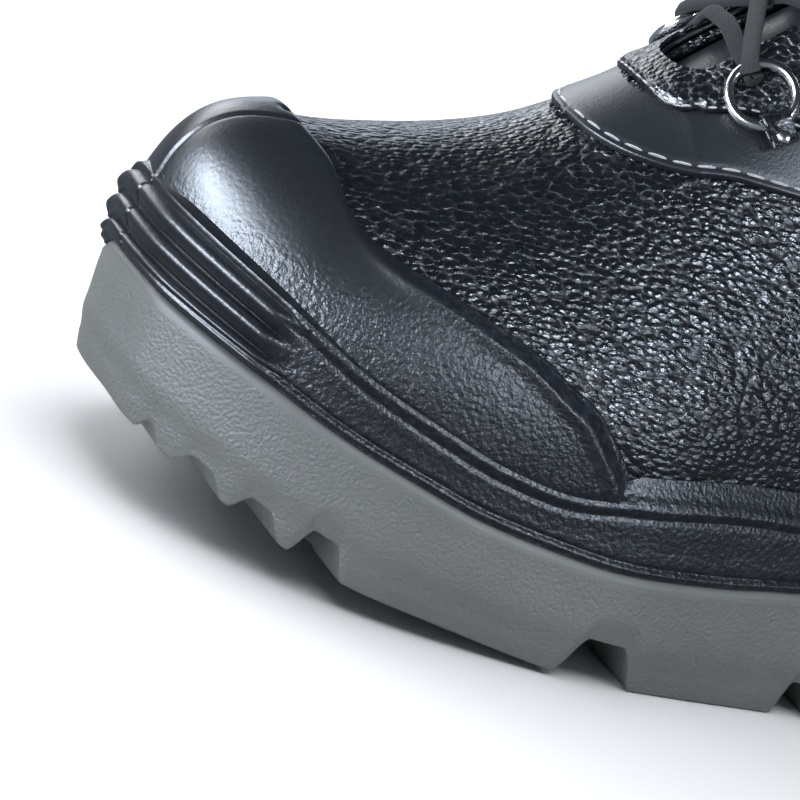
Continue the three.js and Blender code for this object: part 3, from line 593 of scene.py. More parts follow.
def scaledVector(tree, vector, factor):
    made = addNode(tree, "ShaderNodeVectorMath", {"operation": "SCALE"}, Vector=vector)
    if isinstance(factor, bpy.types.NodeSocket):
        tree.links.new(factor, made.inputs["Scale"])
    else:
        made.inputs["Scale"].default_value = factor
    return made.outputs[0]


def addVectors(tree, first, second):
    made = tree.nodes.new("ShaderNodeVectorMath")
    made.operation = "ADD"
    tree.links.new(first, made.inputs[0])
    tree.links.new(second, made.inputs[1])
    return made.outputs[0]


# Shares of the pebbles, the fine creases and the slow swell in the leather's relief
grainShares = {"dome": 0.8, "fine": 0.42, "slow": 1.6}


# Pebbled grain: soft domes of the given size in metres, with a slow swell under them
def makePebbleGroup():
    tree, given, result = newGroup(
        "pebbledGrain",
        [("Position", "NodeSocketVector", None), ("Cell", "NodeSocketFloat", 0.0015),
         ("Waver", "NodeSocketFloat", 0.35)],
        ["Height", "CreaseAndShade", "Tone"],
    )
    perMetre = arithmetic(tree, "DIVIDE", 1.0, given["Cell"])
    place = scaledVector(tree, given["Position"], perMetre)
    drift = addNode(tree, "ShaderNodeTexNoise", {"noise_dimensions": "3D"}, Vector=place, Scale=0.8,
                    Detail=2.0)
    centred = addNode(tree, "ShaderNodeVectorMath", {"operation": "SUBTRACT"})
    tree.links.new(drift.outputs["Color"], centred.inputs[0])
    centred.inputs[1].default_value = (0.5, 0.5, 0.5)
    moved = addVectors(tree, place, scaledVector(tree, centred.outputs[0], given["Waver"]))
    cells = addNode(tree, "ShaderNodeTexVoronoi", {"feature": "F1"}, Vector=moved, Scale=1.0,
                    Randomness=0.9)
    away = cells.outputs["Distance"]
    dome = arithmetic(tree, "MULTIPLY_ADD", arithmetic(tree, "MULTIPLY", away, away), -1.3, 1.0)
    fine = addNode(tree, "ShaderNodeTexNoise", {}, Vector=place, Scale=1.7, Detail=2.0, Roughness=0.5)
    slow = addNode(tree, "ShaderNodeTexNoise", {}, Vector=place, Scale=0.22, Detail=2.0)
    height = arithmetic(tree, "MULTIPLY", dome, grainShares["dome"])
    height = arithmetic(tree, "MULTIPLY_ADD", fine.outputs["Fac"], grainShares["fine"], height)
    height = arithmetic(tree, "MULTIPLY_ADD", slow.outputs["Fac"], grainShares["slow"], height)
    tree.links.new(height, result["Height"])
    # crease mask between the pebbles: it roughens the leather and also darkens its colour there as painted
    # shade
    tree.links.new(mapRange(tree, cells.outputs["Distance"], 0.4, 0.7), result["CreaseAndShade"])
    tone = addNode(tree, "ShaderNodeSeparateColor", {}, Color=cells.outputs["Color"])
    tree.links.new(tone.outputs[0], result["Tone"])
    return tree


# Fine grain: shallow even stipple with a little slow variation
def makeStippleGroup():
    tree, given, result = newGroup(
        "fineStipple",
        [("Position", "NodeSocketVector", None), ("Cell", "NodeSocketFloat", 0.0008)],
        ["Height", "Speck", "Drift"],
    )
    place = scaledVector(tree, given["Position"], arithmetic(tree, "DIVIDE", 1.0, given["Cell"]))
    grain = addNode(tree, "ShaderNodeTexNoise", {}, Vector=place, Scale=1.0, Detail=2.5, Roughness=0.6)
    dots = addNode(tree, "ShaderNodeTexVoronoi", {"feature": "F1"}, Vector=place, Scale=0.9,
                   Randomness=1.0)
    height = arithmetic(tree, "MULTIPLY_ADD", dots.outputs["Distance"], -0.45, grain.outputs["Fac"])
    tree.links.new(height, result["Height"])
    tree.links.new(mapRange(tree, dots.outputs["Distance"], 0.1, 0.3, 1.0, 0.0), result["Speck"])
    slow = addNode(tree, "ShaderNodeTexNoise", {}, Vector=given["Position"], Scale=38.0, Detail=3.0)
    tree.links.new(slow.outputs["Fac"], result["Drift"])
    return tree


pebbledGrain = makePebbleGroup()
fineStipple = makeStippleGroup()


def newMaterial(name):
    material = bpy.data.materials.new(name)
    material.use_nodes = True
    tree = material.node_tree
    tree.nodes.clear()
    shader = tree.nodes.new("ShaderNodeBsdfPrincipled")
    output = tree.nodes.new("ShaderNodeOutputMaterial")
    tree.links.new(shader.outputs[0], output.inputs[0])
    position = tree.nodes.new("ShaderNodeTexCoord").outputs["Object"]
    return material, tree, shader, position


def addGroup(tree, group, **inputs):
    return addNode(tree, "ShaderNodeGroup", {"node_tree": group}, **inputs).outputs


def addBump(tree, shader, height, distance, strength=1.0):
    made = addNode(tree, "ShaderNodeBump", {}, Height=height, Distance=distance, Strength=strength)
    tree.links.new(made.outputs[0], shader.inputs["Normal"])
    return made


leatherLook = {
    "cell": 0.0014, "waver": 0.6, "relief": 0.00046, "stretch": (0.62, 1.0, 1.0),
    "dark": (0.0045, 0.0065, 0.0095), "light": (0.008, 0.011, 0.016),
    "smoothest": 0.24, "roughest": 0.4,
}


def makePebbledLeather():
    material, tree, shader, position = newMaterial("pebbledLeather")
    place = addNode(tree, "ShaderNodeMapping", {}, Vector=position, Scale=leatherLook["stretch"]).outputs[0]
    grain = addGroup(tree, pebbledGrain, Position=place, Cell=leatherLook["cell"],
                     Waver=leatherLook["waver"])
    colour = blendColours(tree, grain["Tone"], leatherLook["dark"], leatherLook["light"])
    # painted shade: the creases between the pebbles are darkened in colour
    colour = blendColours(tree, grain["CreaseAndShade"], colour, leatherLook["dark"])
    tree.links.new(colour, shader.inputs["Base Color"])
    gloss = mapRange(tree, grain["CreaseAndShade"], 0.0, 1.0, leatherLook["smoothest"], leatherLook["roughest"])
    tree.links.new(gloss, shader.inputs["Roughness"])
    mask = addNode(tree, "ShaderNodeAttribute", {"attribute_name": "grainMask"}).outputs["Fac"]
    addBump(tree, shader, arithmetic(tree, "MULTIPLY", grain["Height"], mask), leatherLook["relief"])
    return material


# Moulded or smooth finish: colours, cell and relief in metres, roughness; mottle is its scale and colour
def makeGrained(name, dark, light, cell, relief, rough, glossy=None, masked=False, mottle=None):
    material, tree, shader, position = newMaterial(name)
    grain = addGroup(tree, fineStipple, Position=position, Cell=cell)
    colour = blendColours(tree, mapRange(tree, grain["Drift"], 0.3, 0.7), dark, light)
    height = grain["Height"]
    if masked:
        mask = addNode(tree, "ShaderNodeAttribute", {"attribute_name": "grainMask"}).outputs["Fac"]
        height = arithmetic(tree, "MULTIPLY", height, mask)
        if mottle is not None:
            blotch = addNode(tree, "ShaderNodeTexNoise", {}, Vector=position, Scale=mottle[0], Detail=3.0)
            spots = mapRange(tree, blotch.outputs["Fac"], 0.44, 0.66)
            colour = blendColours(tree, arithmetic(tree, "MULTIPLY", spots, mask), colour, mottle[1])
    tree.links.new(colour, shader.inputs["Base Color"])
    if glossy is None:
        glossy = rough - 0.08
    tree.links.new(mapRange(tree, grain["Drift"], 0.25, 0.75, rough, glossy), shader.inputs["Roughness"])
    addBump(tree, shader, height, relief)
    return material


def makeNickel():
    material, tree, shader, position = newMaterial("nickel")
    grain = addGroup(tree, fineStipple, Position=position, Cell=0.0006)
    colour = blendColours(tree, grain["Drift"], (0.62, 0.62, 0.61), (0.8, 0.8, 0.78))
    tree.links.new(colour, shader.inputs["Base Color"])
    tree.links.new(mapRange(tree, grain["Drift"], 0.2, 0.8, 0.12, 0.24), shader.inputs["Roughness"])
    shader.inputs["Metallic"].default_value = 1.0
    addBump(tree, shader, grain["Height"], 0.00002)
    return material


# Cloth, lining or thread; a diagonal weave where the piece has its own UV map
def makeWoven(name, dark, light, cell, relief, useUv=False, across=1.0, along=1.0):
    material, tree, shader, position = newMaterial(name)
    place = position
    if useUv:
        place = addNode(tree, "ShaderNodeUVMap").outputs[0]
        place = addNode(tree, "ShaderNodeMapping", {}, Vector=place, Scale=(across, along, 1)).outputs[0]
        diagonal = addNode(tree, "ShaderNodeTexWave", {"wave_type": "BANDS", "bands_direction": "DIAGONAL"},
                           Vector=place, Scale=1.0, Distortion=0.2)
        height = diagonal.outputs["Fac"]
        tone = height
    else:
        grain = addGroup(tree, fineStipple, Position=position, Cell=cell)
        height = grain["Height"]
        tone = grain["Height"]
    colour = blendColours(tree, tone, dark, light)
    tree.links.new(colour, shader.inputs["Base Color"])
    tree.links.new(mapRange(tree, tone, 0.0, 1.0, 0.95, 0.75), shader.inputs["Roughness"])
    shader.inputs["Sheen Weight"].default_value = 0.04
    addBump(tree, shader, height, relief)
    return material


leather = makePebbledLeather()
outsoleGrey = makeGrained("outsoleGrey", (0.17, 0.178, 0.168), (0.2, 0.208, 0.196), 0.0008, 0.00024, 0.6,
                          masked=True)
soleBlack = makeGrained("soleBlack", (0.007, 0.009, 0.014), (0.0095, 0.012, 0.018), 0.0011, 0.00034, 0.4,
                        glossy=0.34, masked=True, mottle=(520, (0.02, 0.025, 0.034)))
smoothLeather = makeGrained("smoothLeather", (0.008, 0.011, 0.017), (0.012, 0.016, 0.024), 0.0006, 0.00006,
                            0.44, glossy=0.36)
collarLeather = makeGrained("collarLeather", (0.011, 0.014, 0.02), (0.018, 0.022, 0.03), 0.0009, 0.00009,
                            0.5)
lining = makeWoven("lining", (0.03, 0.032, 0.036), (0.07, 0.073, 0.08), 0.0009, 0.0002)
nickel = makeNickel()
laceWeave = makeWoven("laceWeave", (0.004, 0.004, 0.005), (0.02, 0.02, 0.024), 0.001, 0.0003, useUv=True,
                      across=20.0, along=260.0)
whiteThread = makeWoven("whiteThread", (0.55, 0.56, 0.58), (0.85, 0.86, 0.88), 0.0004, 0.00008)
print("materials made")


viewOf = {
    "target": (0.2, 0, 0.045), "distance": 1.0, "azimuth": 60.78, "elevation": 14.756, "roll": 24.059,
    "lens": 210.47, "shiftX": 0.0309, "shiftY": -0.0844, "sensor": 36,
}


def makeCamera():
    azimuth = math.radians(viewOf["azimuth"])
    elevation = math.radians(viewOf["elevation"])
    roll = math.radians(viewOf["roll"])
    back = np.array([
        math.cos(elevation) * math.cos(azimuth), math.cos(elevation) * math.sin(azimuth),
        math.sin(elevation),
    ])
    right = np.array([-math.sin(azimuth), math.cos(azimuth), 0])
    up = np.cross(back, right)
    right, up = (
        right * math.cos(roll) + up * math.sin(roll),
        up * math.cos(roll) - right * math.sin(roll),
    )
    place = np.array(viewOf["target"]) + back * viewOf["distance"]
    bpy.ops.object.camera_add(location=tuple(place))
    camera = bpy.context.object
    camera.matrix_world = Matrix((
        (right[0], up[0], back[0], place[0]),
        (right[1], up[1], back[1], place[1]),
        (right[2], up[2], back[2], place[2]),
        (0, 0, 0, 1),
    ))
    camera.data.sensor_width = viewOf["sensor"]
    camera.data.lens = viewOf["lens"]
    camera.data.shift_x = viewOf["shiftX"]
    camera.data.shift_y = viewOf["shiftY"]
    camera.data.clip_start = 0.01
    camera.data.clip_end = 20
    bpy.context.scene.camera = camera


studio = {
    # a pale wall all round and a dim ceiling, by the upward part of the direction
    "wall": 0.15, "ceiling": 0.03, "wallTop": 0.2, "ceilingFrom": 0.55,
    "floor": (0.93, 0.93, 0.94), "floorMirrored": (0.13, 0.145, 0.17),
    "window": (0.76, 0.86, 1.0), "plainLight": (0.95, 0.97, 1.0), "air": (0.78, 0.88, 1),
    # place, aim, width, height, watts, seen in reflections, gives plain light
    "lamps": [
        ("frontWindow", (1.45, 0.24, 0.34), (0.24, 0, 0.05), 1.4, 0.34, 90, True, False),
        ("farWindow", (0.75, -1.3, 0.72), (0.2, 0, 0.05), 1.7, 0.6, 20, True, True),
        ("backWindow", (-0.5, -1.7, 0.42), (0.15, 0, 0.05), 1.3, 0.5, 5, True, False),
        ("sideWindow", (-0.08, 1.1, 0.74), (0.17, 0.03, 0.05), 0.34, 0.24, 17, True, False),
        ("lowWindow", (-0.6, 1.2, 0.27), (0.17, 0.03, 0.05), 0.8, 0.14, 7, True, False),
        ("ceilingPanel", (0.1, 0.0, 1.7), (0.1, 0, 0), 2.4, 2.4, 50, False, True),
    ],
}


def makeStudio():
    world = bpy.data.worlds.new("studio")
    bpy.context.scene.world = world
    world.use_nodes = True
    tree = world.node_tree
    background = tree.nodes["Background"]
    direction = tree.nodes.new("ShaderNodeTexCoord").outputs["Generated"]
    upward = addNode(tree, "ShaderNodeSeparateXYZ", {}, Vector=direction).outputs["Z"]
    strength = mapRange(tree, upward, studio["wallTop"], studio["ceilingFrom"], studio["wall"],
                        studio["ceiling"])
    background.inputs["Color"].default_value = (*studio["air"], 1)
    tree.links.new(strength, background.inputs["Strength"])
    for name, place, aim, width, height, watts, mirrored, plain in studio["lamps"]:
        bpy.ops.object.light_add(type="AREA", location=place)
        lamp = bpy.context.object
        lamp.name = name
        lamp.data.shape = "RECTANGLE"
        lamp.data.size = width
        lamp.data.size_y = height
        lamp.data.energy = watts
        lamp.data.color = studio["plainLight"] if plain else studio["window"]
        lamp.visible_glossy = mirrored
        lamp.visible_diffuse = plain
        lamp.visible_camera = False
        toward = lamp.location - Vector(aim)
        lamp.rotation_euler = toward.to_track_quat("Z", "Y").to_euler()
    bpy.ops.mesh.primitive_plane_add(size=12, location=(0, 0, 0))
    floor = bpy.context.object
    floor.name = "studio_floor"
    material, tree, shader, position = newMaterial("floorPaper")
    grain = addGroup(tree, fineStipple, Position=position, Cell=0.004)
    colour = blendColours(tree, grain["Drift"], studio["floor"], (0.95, 0.95, 0.95))
    # reflections see the floor darker, as in the photo
    glossyRay = tree.nodes.new("ShaderNodeLightPath").outputs["Is Glossy Ray"]
    colour = blendColours(tree, glossyRay, colour, studio["floorMirrored"])
    tree.links.new(colour, shader.inputs["Base Color"])
    shader.inputs["Roughness"].default_value = 0.9
    shader.inputs["Specular IOR Level"].default_value = 0.1
    floor.data.materials.append(material)
    bpy.context.scene.view_settings.view_transform = "Standard"
    bpy.context.scene.view_settings.look = "None"


makeCamera()
makeStudio()
print("camera and studio made")


# Shares of the length at even steps along the edge of the sole, closer at the tip
def soleStations(step, tipStep=0.4, tipRun=3.0):
    base = 1 - np.cos(np.linspace(0, np.pi, 4001))
    shares = base / 2
    x = shares * bootForm["length"]
    y = halfOf(shares) * roundOf(shares) + centreOf(shares)
    run = np.concatenate([[0], np.cumsum(np.hypot(np.diff(x), np.diff(y)))])
    body = np.linspace(0, run[-1] - tipRun, int(round((run[-1] - tipRun) / step)))
    tip = np.arange(run[-1] - tipRun + tipStep, run[-1] - 0.1, tipStep)
    at = np.concatenate([body, tip, run[-1:]])
    return np.interp(at, run, shares)


def roundOf(share):
    heel = rounded(share / lastShape["heelRun"], lastShape["heelPower"])
    return heel * rounded((1 - share) / lastShape["toeRun"], lastShape["toePower"])


# The loop round the sole: shares, sides, edge points and normals, from the heel by the outer side
def soleLoop(shares):
    share = np.concatenate([shares, shares[-2:0:-1]])
    side = np.concatenate([np.ones(len(shares)), -np.ones(len(shares) - 2)])
    x = share * bootForm["length"] - bootForm["behind"]
    edge = np.stack([x, centreOf(share) + side * halfOf(share) * roundOf(share)], -1)
    along = np.roll(edge, -1, axis=0) - np.roll(edge, 1, axis=0)
    normal = np.stack([-along[:, 1], along[:, 0]], -1)
    normal /= np.linalg.norm(normal, axis=1, keepdims=True)
    return share, side, edge, normal


def loopPlaces(loop, z, inset):
    _, _, edge, normal = loop
    flat = edge[None] - normal[None] * inset[..., None]
    places = np.concatenate([flat, z[..., None]], axis=-1)
    return np.concatenate([places, places[:, :1]], axis=1)


outsoleShape = {
    "step": 0.85, "wallSteps": 26, "bottomSteps": 48, "lip": 0.8, "cupWall": 3.2,
    "smoothBand": 2.4, "scallop": 1.3, "scallopRise": 7, "channel": 1.3, "channelPitch": 9, "arrow": 5,
    "chamfer": (0.7, 0.75, 0.2), "softCorners": 0.75, "gapEdge": 2.5,
}


def gapDepth(share):
    depth = np.zeros(np.shape(share))
    for front, rear, deep, lean, _ in lugGaps:
        ramp = (front - rear) * lean
        rise = np.minimum(np.clip((share - rear) / ramp, 0, 1), np.clip((front - share) / ramp, 0, 1))
        soft = mix(rise, smooth(rise), outsoleShape["softCorners"])
        depth = np.maximum(depth, soft * deep * bootForm["lug"])
    return depth


def gapReach(share):
    reach = np.zeros(np.shape(share))
    for front, rear, _, _, inward in lugGaps:
        inside = (share > rear - 0.003) & (share < front + 0.003)
        reach = np.where(inside, inward, reach)
    return reach


def toeward(share):
    return np.clip((share - 0.75) / 0.25, 0, 1) ** 1.5


def wallInset(share, side, level):
    tread = 1 + 1.6 * toeward(share) + 2 * tuckOf(share, side)
    bulge = 0.6 * toeward(share) - 0.4 + 2 * tuckOf(share, side)
    low = mix(tread, bulge, 0.4)
    under = 1.5 * tuckOf(share, side)
    result = mix(tread, low, np.clip(level / 0.16, 0, 1))
    result = np.where(level > 0.16, mix(low, bulge, smooth((level - 0.16) / 0.29)), result)
    return np.where(level > 0.45, mix(bulge, under, smooth((level - 0.45) / 0.45)), result)


def makeOutsole():
    shape = outsoleShape
    shares = soleStations(shape["step"])
    loop = soleLoop(shares)
    share, side, _, _ = loop
    top = junctionOf(share, side)
    spring = springOf(share)
    roof = spring + gapDepth(share)
    lip = shape["lip"]
    z = [top - 1.5, top, top, top - 0.4, top - 1.3]
    inset = [
        np.full(len(share), shape["cupWall"] + 4), np.full(len(share), shape["cupWall"] + 4),
        lip + shape["chamfer"][0] + tuckOf(share, side), shape["chamfer"][1] + 1.2 * tuckOf(share, side),
        shape["chamfer"][2] + 1.2 * tuckOf(share, side),
    ]
    start = top - 2
    steps = shape["wallSteps"]
    for k in range(steps + 1):
        height = mix(start, roof + 0.5, k / steps)
        level = (height - spring) / (top - spring)
        cut = shape["scallop"] * gapDepth(share) / bootForm["lug"]
        hollow = cut * (1 - smooth((height - roof) / shape["scallopRise"]))
        z.append(height)
        inset.append(wallInset(share, side, level) + hollow)
    z.append(roof)
    inset.append(inset[-1] + 0.5)
    places = loopPlaces(loop, np.array(z), np.array(inset))
    wall = grid("sole_wall", places)

    # the tread has gaps that run in from each side, and shallow channels on the lugs
    half = len(shares)
    edgeOut = places[-1, :half]
    edgeIn = np.concatenate([places[-1, :1], places[-1, half:-1][::-1], places[-1, half - 1: half]])
    parts = np.linspace(0, 1, shape["bottomSteps"] + 1)
    tread = edgeOut[:, None] + (edgeIn - edgeOut)[:, None] * parts[None, :, None]
    width = np.linalg.norm(edgeIn - edgeOut, axis=1)[:, None]
    fromEdge = np.minimum(parts, 1 - parts)[None] * width
    reach = (gapReach(shares) * 2 * halfOf(shares))[:, None]
    inGap = 1 - smooth((fromEdge - reach) / shape["gapEdge"])
    sideways = tread[:, :, 0] / shape["channelPitch"] + np.abs(parts - 0.5)[None] * shape["arrow"]
    channel = shape["channel"] * smooth((np.abs((sideways % 1) - 0.5) - 0.38) / 0.06)
    channel = channel * smooth((fromEdge - 7) / 2) * (gapDepth(shares)[:, None] < 0.1)
    tread[:, 1:-1, 2] = (springOf(shares)[:, None] + gapDepth(shares)[:, None] * inGap + channel)[:, 1:-1]
    bottom = grid("sole_tread", tread)
    upIn = places[0]
    topOut = upIn[:half]
    topIn = np.concatenate([upIn[:1], upIn[half:-1][::-1], upIn[half - 1: half]])
    lid = grid("sole_lid", np.stack([topOut, mix(topOut, topIn, 0.5), topIn], 1))
    piece = close(join("sole_cup", [wall, bottom, lid]), angle=32)
    corner = cornersOf(piece)
    where = shareOf(corner[:, 0])
    sides = np.where(corner[:, 1] > centreOf(where), 1, -1)
    below = junctionOf(where, sides) - corner[:, 2]
    setMask(piece, "grainMask", smooth((below - shape["smoothBand"]) / 0.8))
    return finish(piece, outsoleGrey, ["outsole"])


bandShape = {
    "step": 0.85, "inner": 5.2, "edge": 0.6, "flank": 5, "flankInset": 3.5,
    "ribEdges": (0.25, 0.57, 0.89), "ribRise": 1.7, "ribRound": 1.7, "ribFall": 3.4, "ribStart": 0.915,
    "ribFade": 0.022, "ribLine": 0.22, "ribLineWidth": 0.3, "ribGroove": 0.55, "ribGrooveWidth": 0.7,
    "grain": 0.85, "ribGrain": 0.25, "hollow": 0.5, "capStart": 0.655, "capOver": 0.03,
    "rimBead": 0.75, "rimBeadWidth": 1.1, "footBead": 0.45, "partingDepth": 0.5,
}


def makeBand():
    shape = bandShape
    shares = soleStations(shape["step"])
    loop = soleLoop(shares)
    share, side, edge, _ = loop
    low = junctionOf(share, side)
    rim = rimOf(share, side)
    tall = rim - low
    levels = np.concatenate([np.linspace(0, 0.09, 7), np.linspace(0.11, 0.9, 60), np.linspace(0.915, 1, 7)])
    z = [low - 1.2, low - 0.6]
    inset = [np.full(len(share), shape["inner"]), np.full(len(share), 2.2) + tuckOf(share, side)]
    ribbed = smooth((share - shape["ribStart"]) / shape["ribFade"])
    parting = shape["partingDepth"] * bump(edge[:, 1] - edge[np.argmax(share), 1], 0.45) * (share > 0.97)
    for level in levels:
        height = mix(low, rim, level)
        up = height - low
        down = rim - height
        wall = shape["edge"] * (1 - smooth(level / 0.3)) + shape["edge"] * smooth((level - 0.6) / 0.4)
        wall = wall + shape["hollow"] * np.sin(np.pi * np.clip(level, 0, 1)) * (1 - ribbed)
        wall = wall - shape["footBead"] * bump(up - 1.2, 0.6) + 0.5 * bump(up - 2.4, 0.5)
        wall = wall + tuckOf(share, side) * (1 - smooth(up / 6))
        ribs = np.zeros(len(share))
        for ribEdge in shape["ribEdges"]:
            under = (ribEdge - level) * tall
            crest = rounded(under / shape["ribRound"], 2)
            fall = 1 - smooth((under - shape["ribRound"]) / shape["ribFall"])
            groove = shape["ribGroove"] * bump(under + 0.3, shape["ribGrooveWidth"])
            foot = under - shape["ribRound"] - shape["ribFall"] * 0.8
            line = shape["ribLine"] * bump(foot, shape["ribLineWidth"])
            ribs = ribs + shape["ribRise"] * crest * fall - groove + line
        wall = wall - ribs * ribbed
        wall = wall - shape["rimBead"] * bump(down - 1.1, shape["rimBeadWidth"]) * (1 - 0.6 * ribbed)
        wall = wall + 0.4 * bump(down - 3.4, 0.7) * (1 - ribbed)
        z.append(height)
        inset.append(wall + parting)
    capped = smooth((share - shape["capStart"]) / shape["capOver"])
    for t in np.linspace(0.15, 1, 8):
        flank = mix(shape["flank"] * t, 1.2 * t, capped)
        slope = mix(shape["flankInset"], 2.6, capped)
        z.append(rim + flank)
        inset.append(mix(inset[-1] if t < 0.2 else shape["edge"], slope, t**0.8) + parting)
    z.append(rim + mix(shape["flank"], 1.2, capped))
    inset.append(np.full(len(share), shape["inner"]))
    z.append(z[0])
    inset.append(inset[0])
    piece = close(grid("black_band", loopPlaces(loop, np.array(z), np.array(inset))), angle=42)
    where = shareOf(cornersOf(piece)[:, 0])
    atRibs = smooth((where - shape["ribStart"]) / shape["ribFade"])
    setMask(piece, "grainMask", mix(shape["grain"], shape["ribGrain"], atRibs))
    return finish(piece, soleBlack, ["midsole"])


capShape = {
    "rows": 190, "columns": 104, "cover": 3.6, "edgeCover": 3.1, "ridgeShoulder": 3.6, "flankShoulder": 4.6,
    "lip": 0.9, "lipWidth": 1.5, "petalBehind": 232, "petalOver": 20, "edgeStep": 0.22,
    "parting": 0.55, "partingWidth": 0.5, "partingShift": 7, "partingStraight": 262, "partingOver": 34,
    "smoothFrom": (200, 58), "smoothOver": (22, 10), "foot": 0.6,
}


def capCover(row, turn):
    h = np.cos(np.pi / 2 * turn) ** 2
    side = smooth((1 - h) / 0.45)
    forward = smooth((4 - row) / 3)
    return mix(capShape["edgeCover"], capShape["cover"], np.maximum(side, forward))


def borderPlaces(rows, turns):
    both = [onLast(rows, turns), onLast(rows, -turns)]
    return np.concatenate(both)


def capRise(row, turns, places, away):
    shape = capShape
    cover = capCover(row, turns)
    petal = smooth((shape["petalBehind"] - places[..., 0]) / shape["petalOver"])
    width = mix(shape["ridgeShoulder"], shape["flankShoulder"], petal)
    plain = rounded(away / width, 2)
    step = shape["edgeStep"]
    flank = step * rounded(away / 0.7, 2) + (1 - step) * smooth(away / width) ** 1.15
    rise = cover * mix(plain, flank, petal) + shape["lip"] * bump(away - width, shape["lipWidth"]) * petal
    ridge = onLast(row, np.zeros(row.shape))[..., 1]
    back = smooth((shape["partingStraight"] - places[..., 0]) / shape["partingOver"])
    line = ridge + shape["partingShift"] * back
    rise = rise - shape["parting"] * bump(places[..., 1] - line, shape["partingWidth"]) * (row < 8)
    rim = rimOf(shareOf(places[..., 0]), np.sign(turns))
    sunk = smooth((rim + shape["foot"] - places[..., 2]) / 3.2)
    return mix(rise, shape["foot"], sunk) - 0.25 * (away < 0.05)


def makeCap():
    shape = capShape
    rows = np.concatenate([np.linspace(0, 4, 70), gathered(4, 9.22, shape["rows"] - 69)[1:]])
    start = capTurn(rows)
    start[rows <= 4] = 0
    end = np.full(len(rows), 0.97)
    dense = gathered(4, 9.25, 1200)
    border = borderPlaces(dense, capTurn(dense))
    parts = np.linspace(0, 1, shape["columns"]) ** 1.25
    piece = layOnLast("scuff_cap", rows, start, end, parts, capRise, border, closeToe=True)
    corner = cornersOf(piece)
    fromX, fromZ = shape["smoothFrom"]
    overX, overZ = shape["smoothOver"]
    top = smooth((corner[:, 0] - fromX) / overX) * smooth((corner[:, 2] - fromZ) / overZ)
    setMask(piece, "grainMask", 1 - 0.85 * top)
    return finish(piece, soleBlack)


makeOutsole()
print("outsole made")
makeBand()
makeCap()
print("midsole band and scuff cap made")


upperShape = {"rows": 300, "columns": 84}


def makeVamp():
    rows = np.linspace(0, 19.9, upperShape["rows"])
    start = throatTurn(rows)
    end = np.ones(len(rows))
    parts = np.linspace(0, 1, upperShape["columns"])

    def rise(row, turns, places, away):
        return np.zeros(row.shape)

    piece = layOnLast("vamp_leather", rows, start, end, parts, rise, closeToe=True)
    applyModifier(piece, "SOLIDIFY", thickness=bootForm["wall"] * millimetre, offset=-1, material_offset=1)
    setMask(piece, "grainMask", np.ones(len(piece.data.vertices)))
    return finish(piece, leather, ["upper"], lining)


panelShape = {
    "rows": 260, "columns": 60, "height": 1.6, "roundOff": 0.8, "stitchIn": 2.0, "stitchDip": 0.18,
    "seam": 0.7, "thick": 1.1,
}


def makePanel():
    shape = panelShape
    first = 8.0
    while panelTurn(np.array([first]))[0] <= 0.001:
        first += 0.01
    rows = gathered(first, 19.3, shape["rows"])
    start = throatTurn(rows)
    end = np.maximum(panelTurn(rows), start)
    end[0] = start[0]
    dense = gathered(first, 18.1, 1400)
    border = borderPlaces(dense, panelTurn(dense))
    parts = 1 - np.linspace(1, 0, shape["columns"]) ** 1.5

    def rise(row, turns, places, away):
        swell = shape["height"] * rounded(away / shape["roundOff"], 2)
        return swell - shape["stitchDip"] * bump(away - shape["stitchIn"], shape["seam"])

    piece = layOnLast("ankle_leather", rows, start, end, parts, rise, border)
    applyModifier(piece, "SOLIDIFY", thickness=shape["thick"] * millimetre, offset=-1)
    finish(piece, smoothLeather, ["ankle_panel"])
    return first


facingShape = {
    "rows": 260, "columns": 34, "height": 3.0, "edge": 1.6, "roundOff": 0.9, "stitchIn": 0.9,
    "stitchDip": 0.15, "seam": 0.7, "thick": 1.2,
}


def makeFacing():
    shape = facingShape
    probe = np.linspace(9.4, 10, 601)
    first = probe[np.argmax(facingTurn(probe) > 0.002)]
    rows = gathered(first, lastRow, shape["rows"])
    start = throatTurn(rows)
    end = np.maximum(facingTurn(rows), start)
    dense = gathered(first, lastRow, 1400)
    border = borderPlaces(dense, facingTurn(dense))
    parts = 1 - np.linspace(1, 0, shape["columns"]) ** 1.4

    def rise(row, turns, places, away):
        swell = mix(shape["edge"], shape["height"], rounded(away / shape["roundOff"], 2))
        return swell - shape["stitchDip"] * bump(away - shape["stitchIn"], shape["seam"])

    piece = layOnLast("lace_facing", rows, start, end, parts, rise, border)
    applyModifier(piece, "SOLIDIFY", thickness=shape["thick"] * millimetre, offset=-1)
    away = distanceTo(cornersOf(piece)[:, None], border[::4])[:, 0]
    setMask(piece, "grainMask", smooth((away - 1.6 - shape["roundOff"]) / 1.5))
    finish(piece, leather, ["facing"])
    return first


makeVamp()
panelFirst = makePanel()
facingFirst = makeFacing()
print("upper, panel and facing made")


collarShape = {
    "columns": 150, "around": 56, "middle": 19.24, "half": 0.8, "outer": 3.4, "inner": 6.0,
    "seam": 0.52, "seamDepth": 0.62, "seamWidth": 0.07, "squareness": 0.75, "frontGap": 0.012,
    "frontRun": 0.05, "above": 20,
}


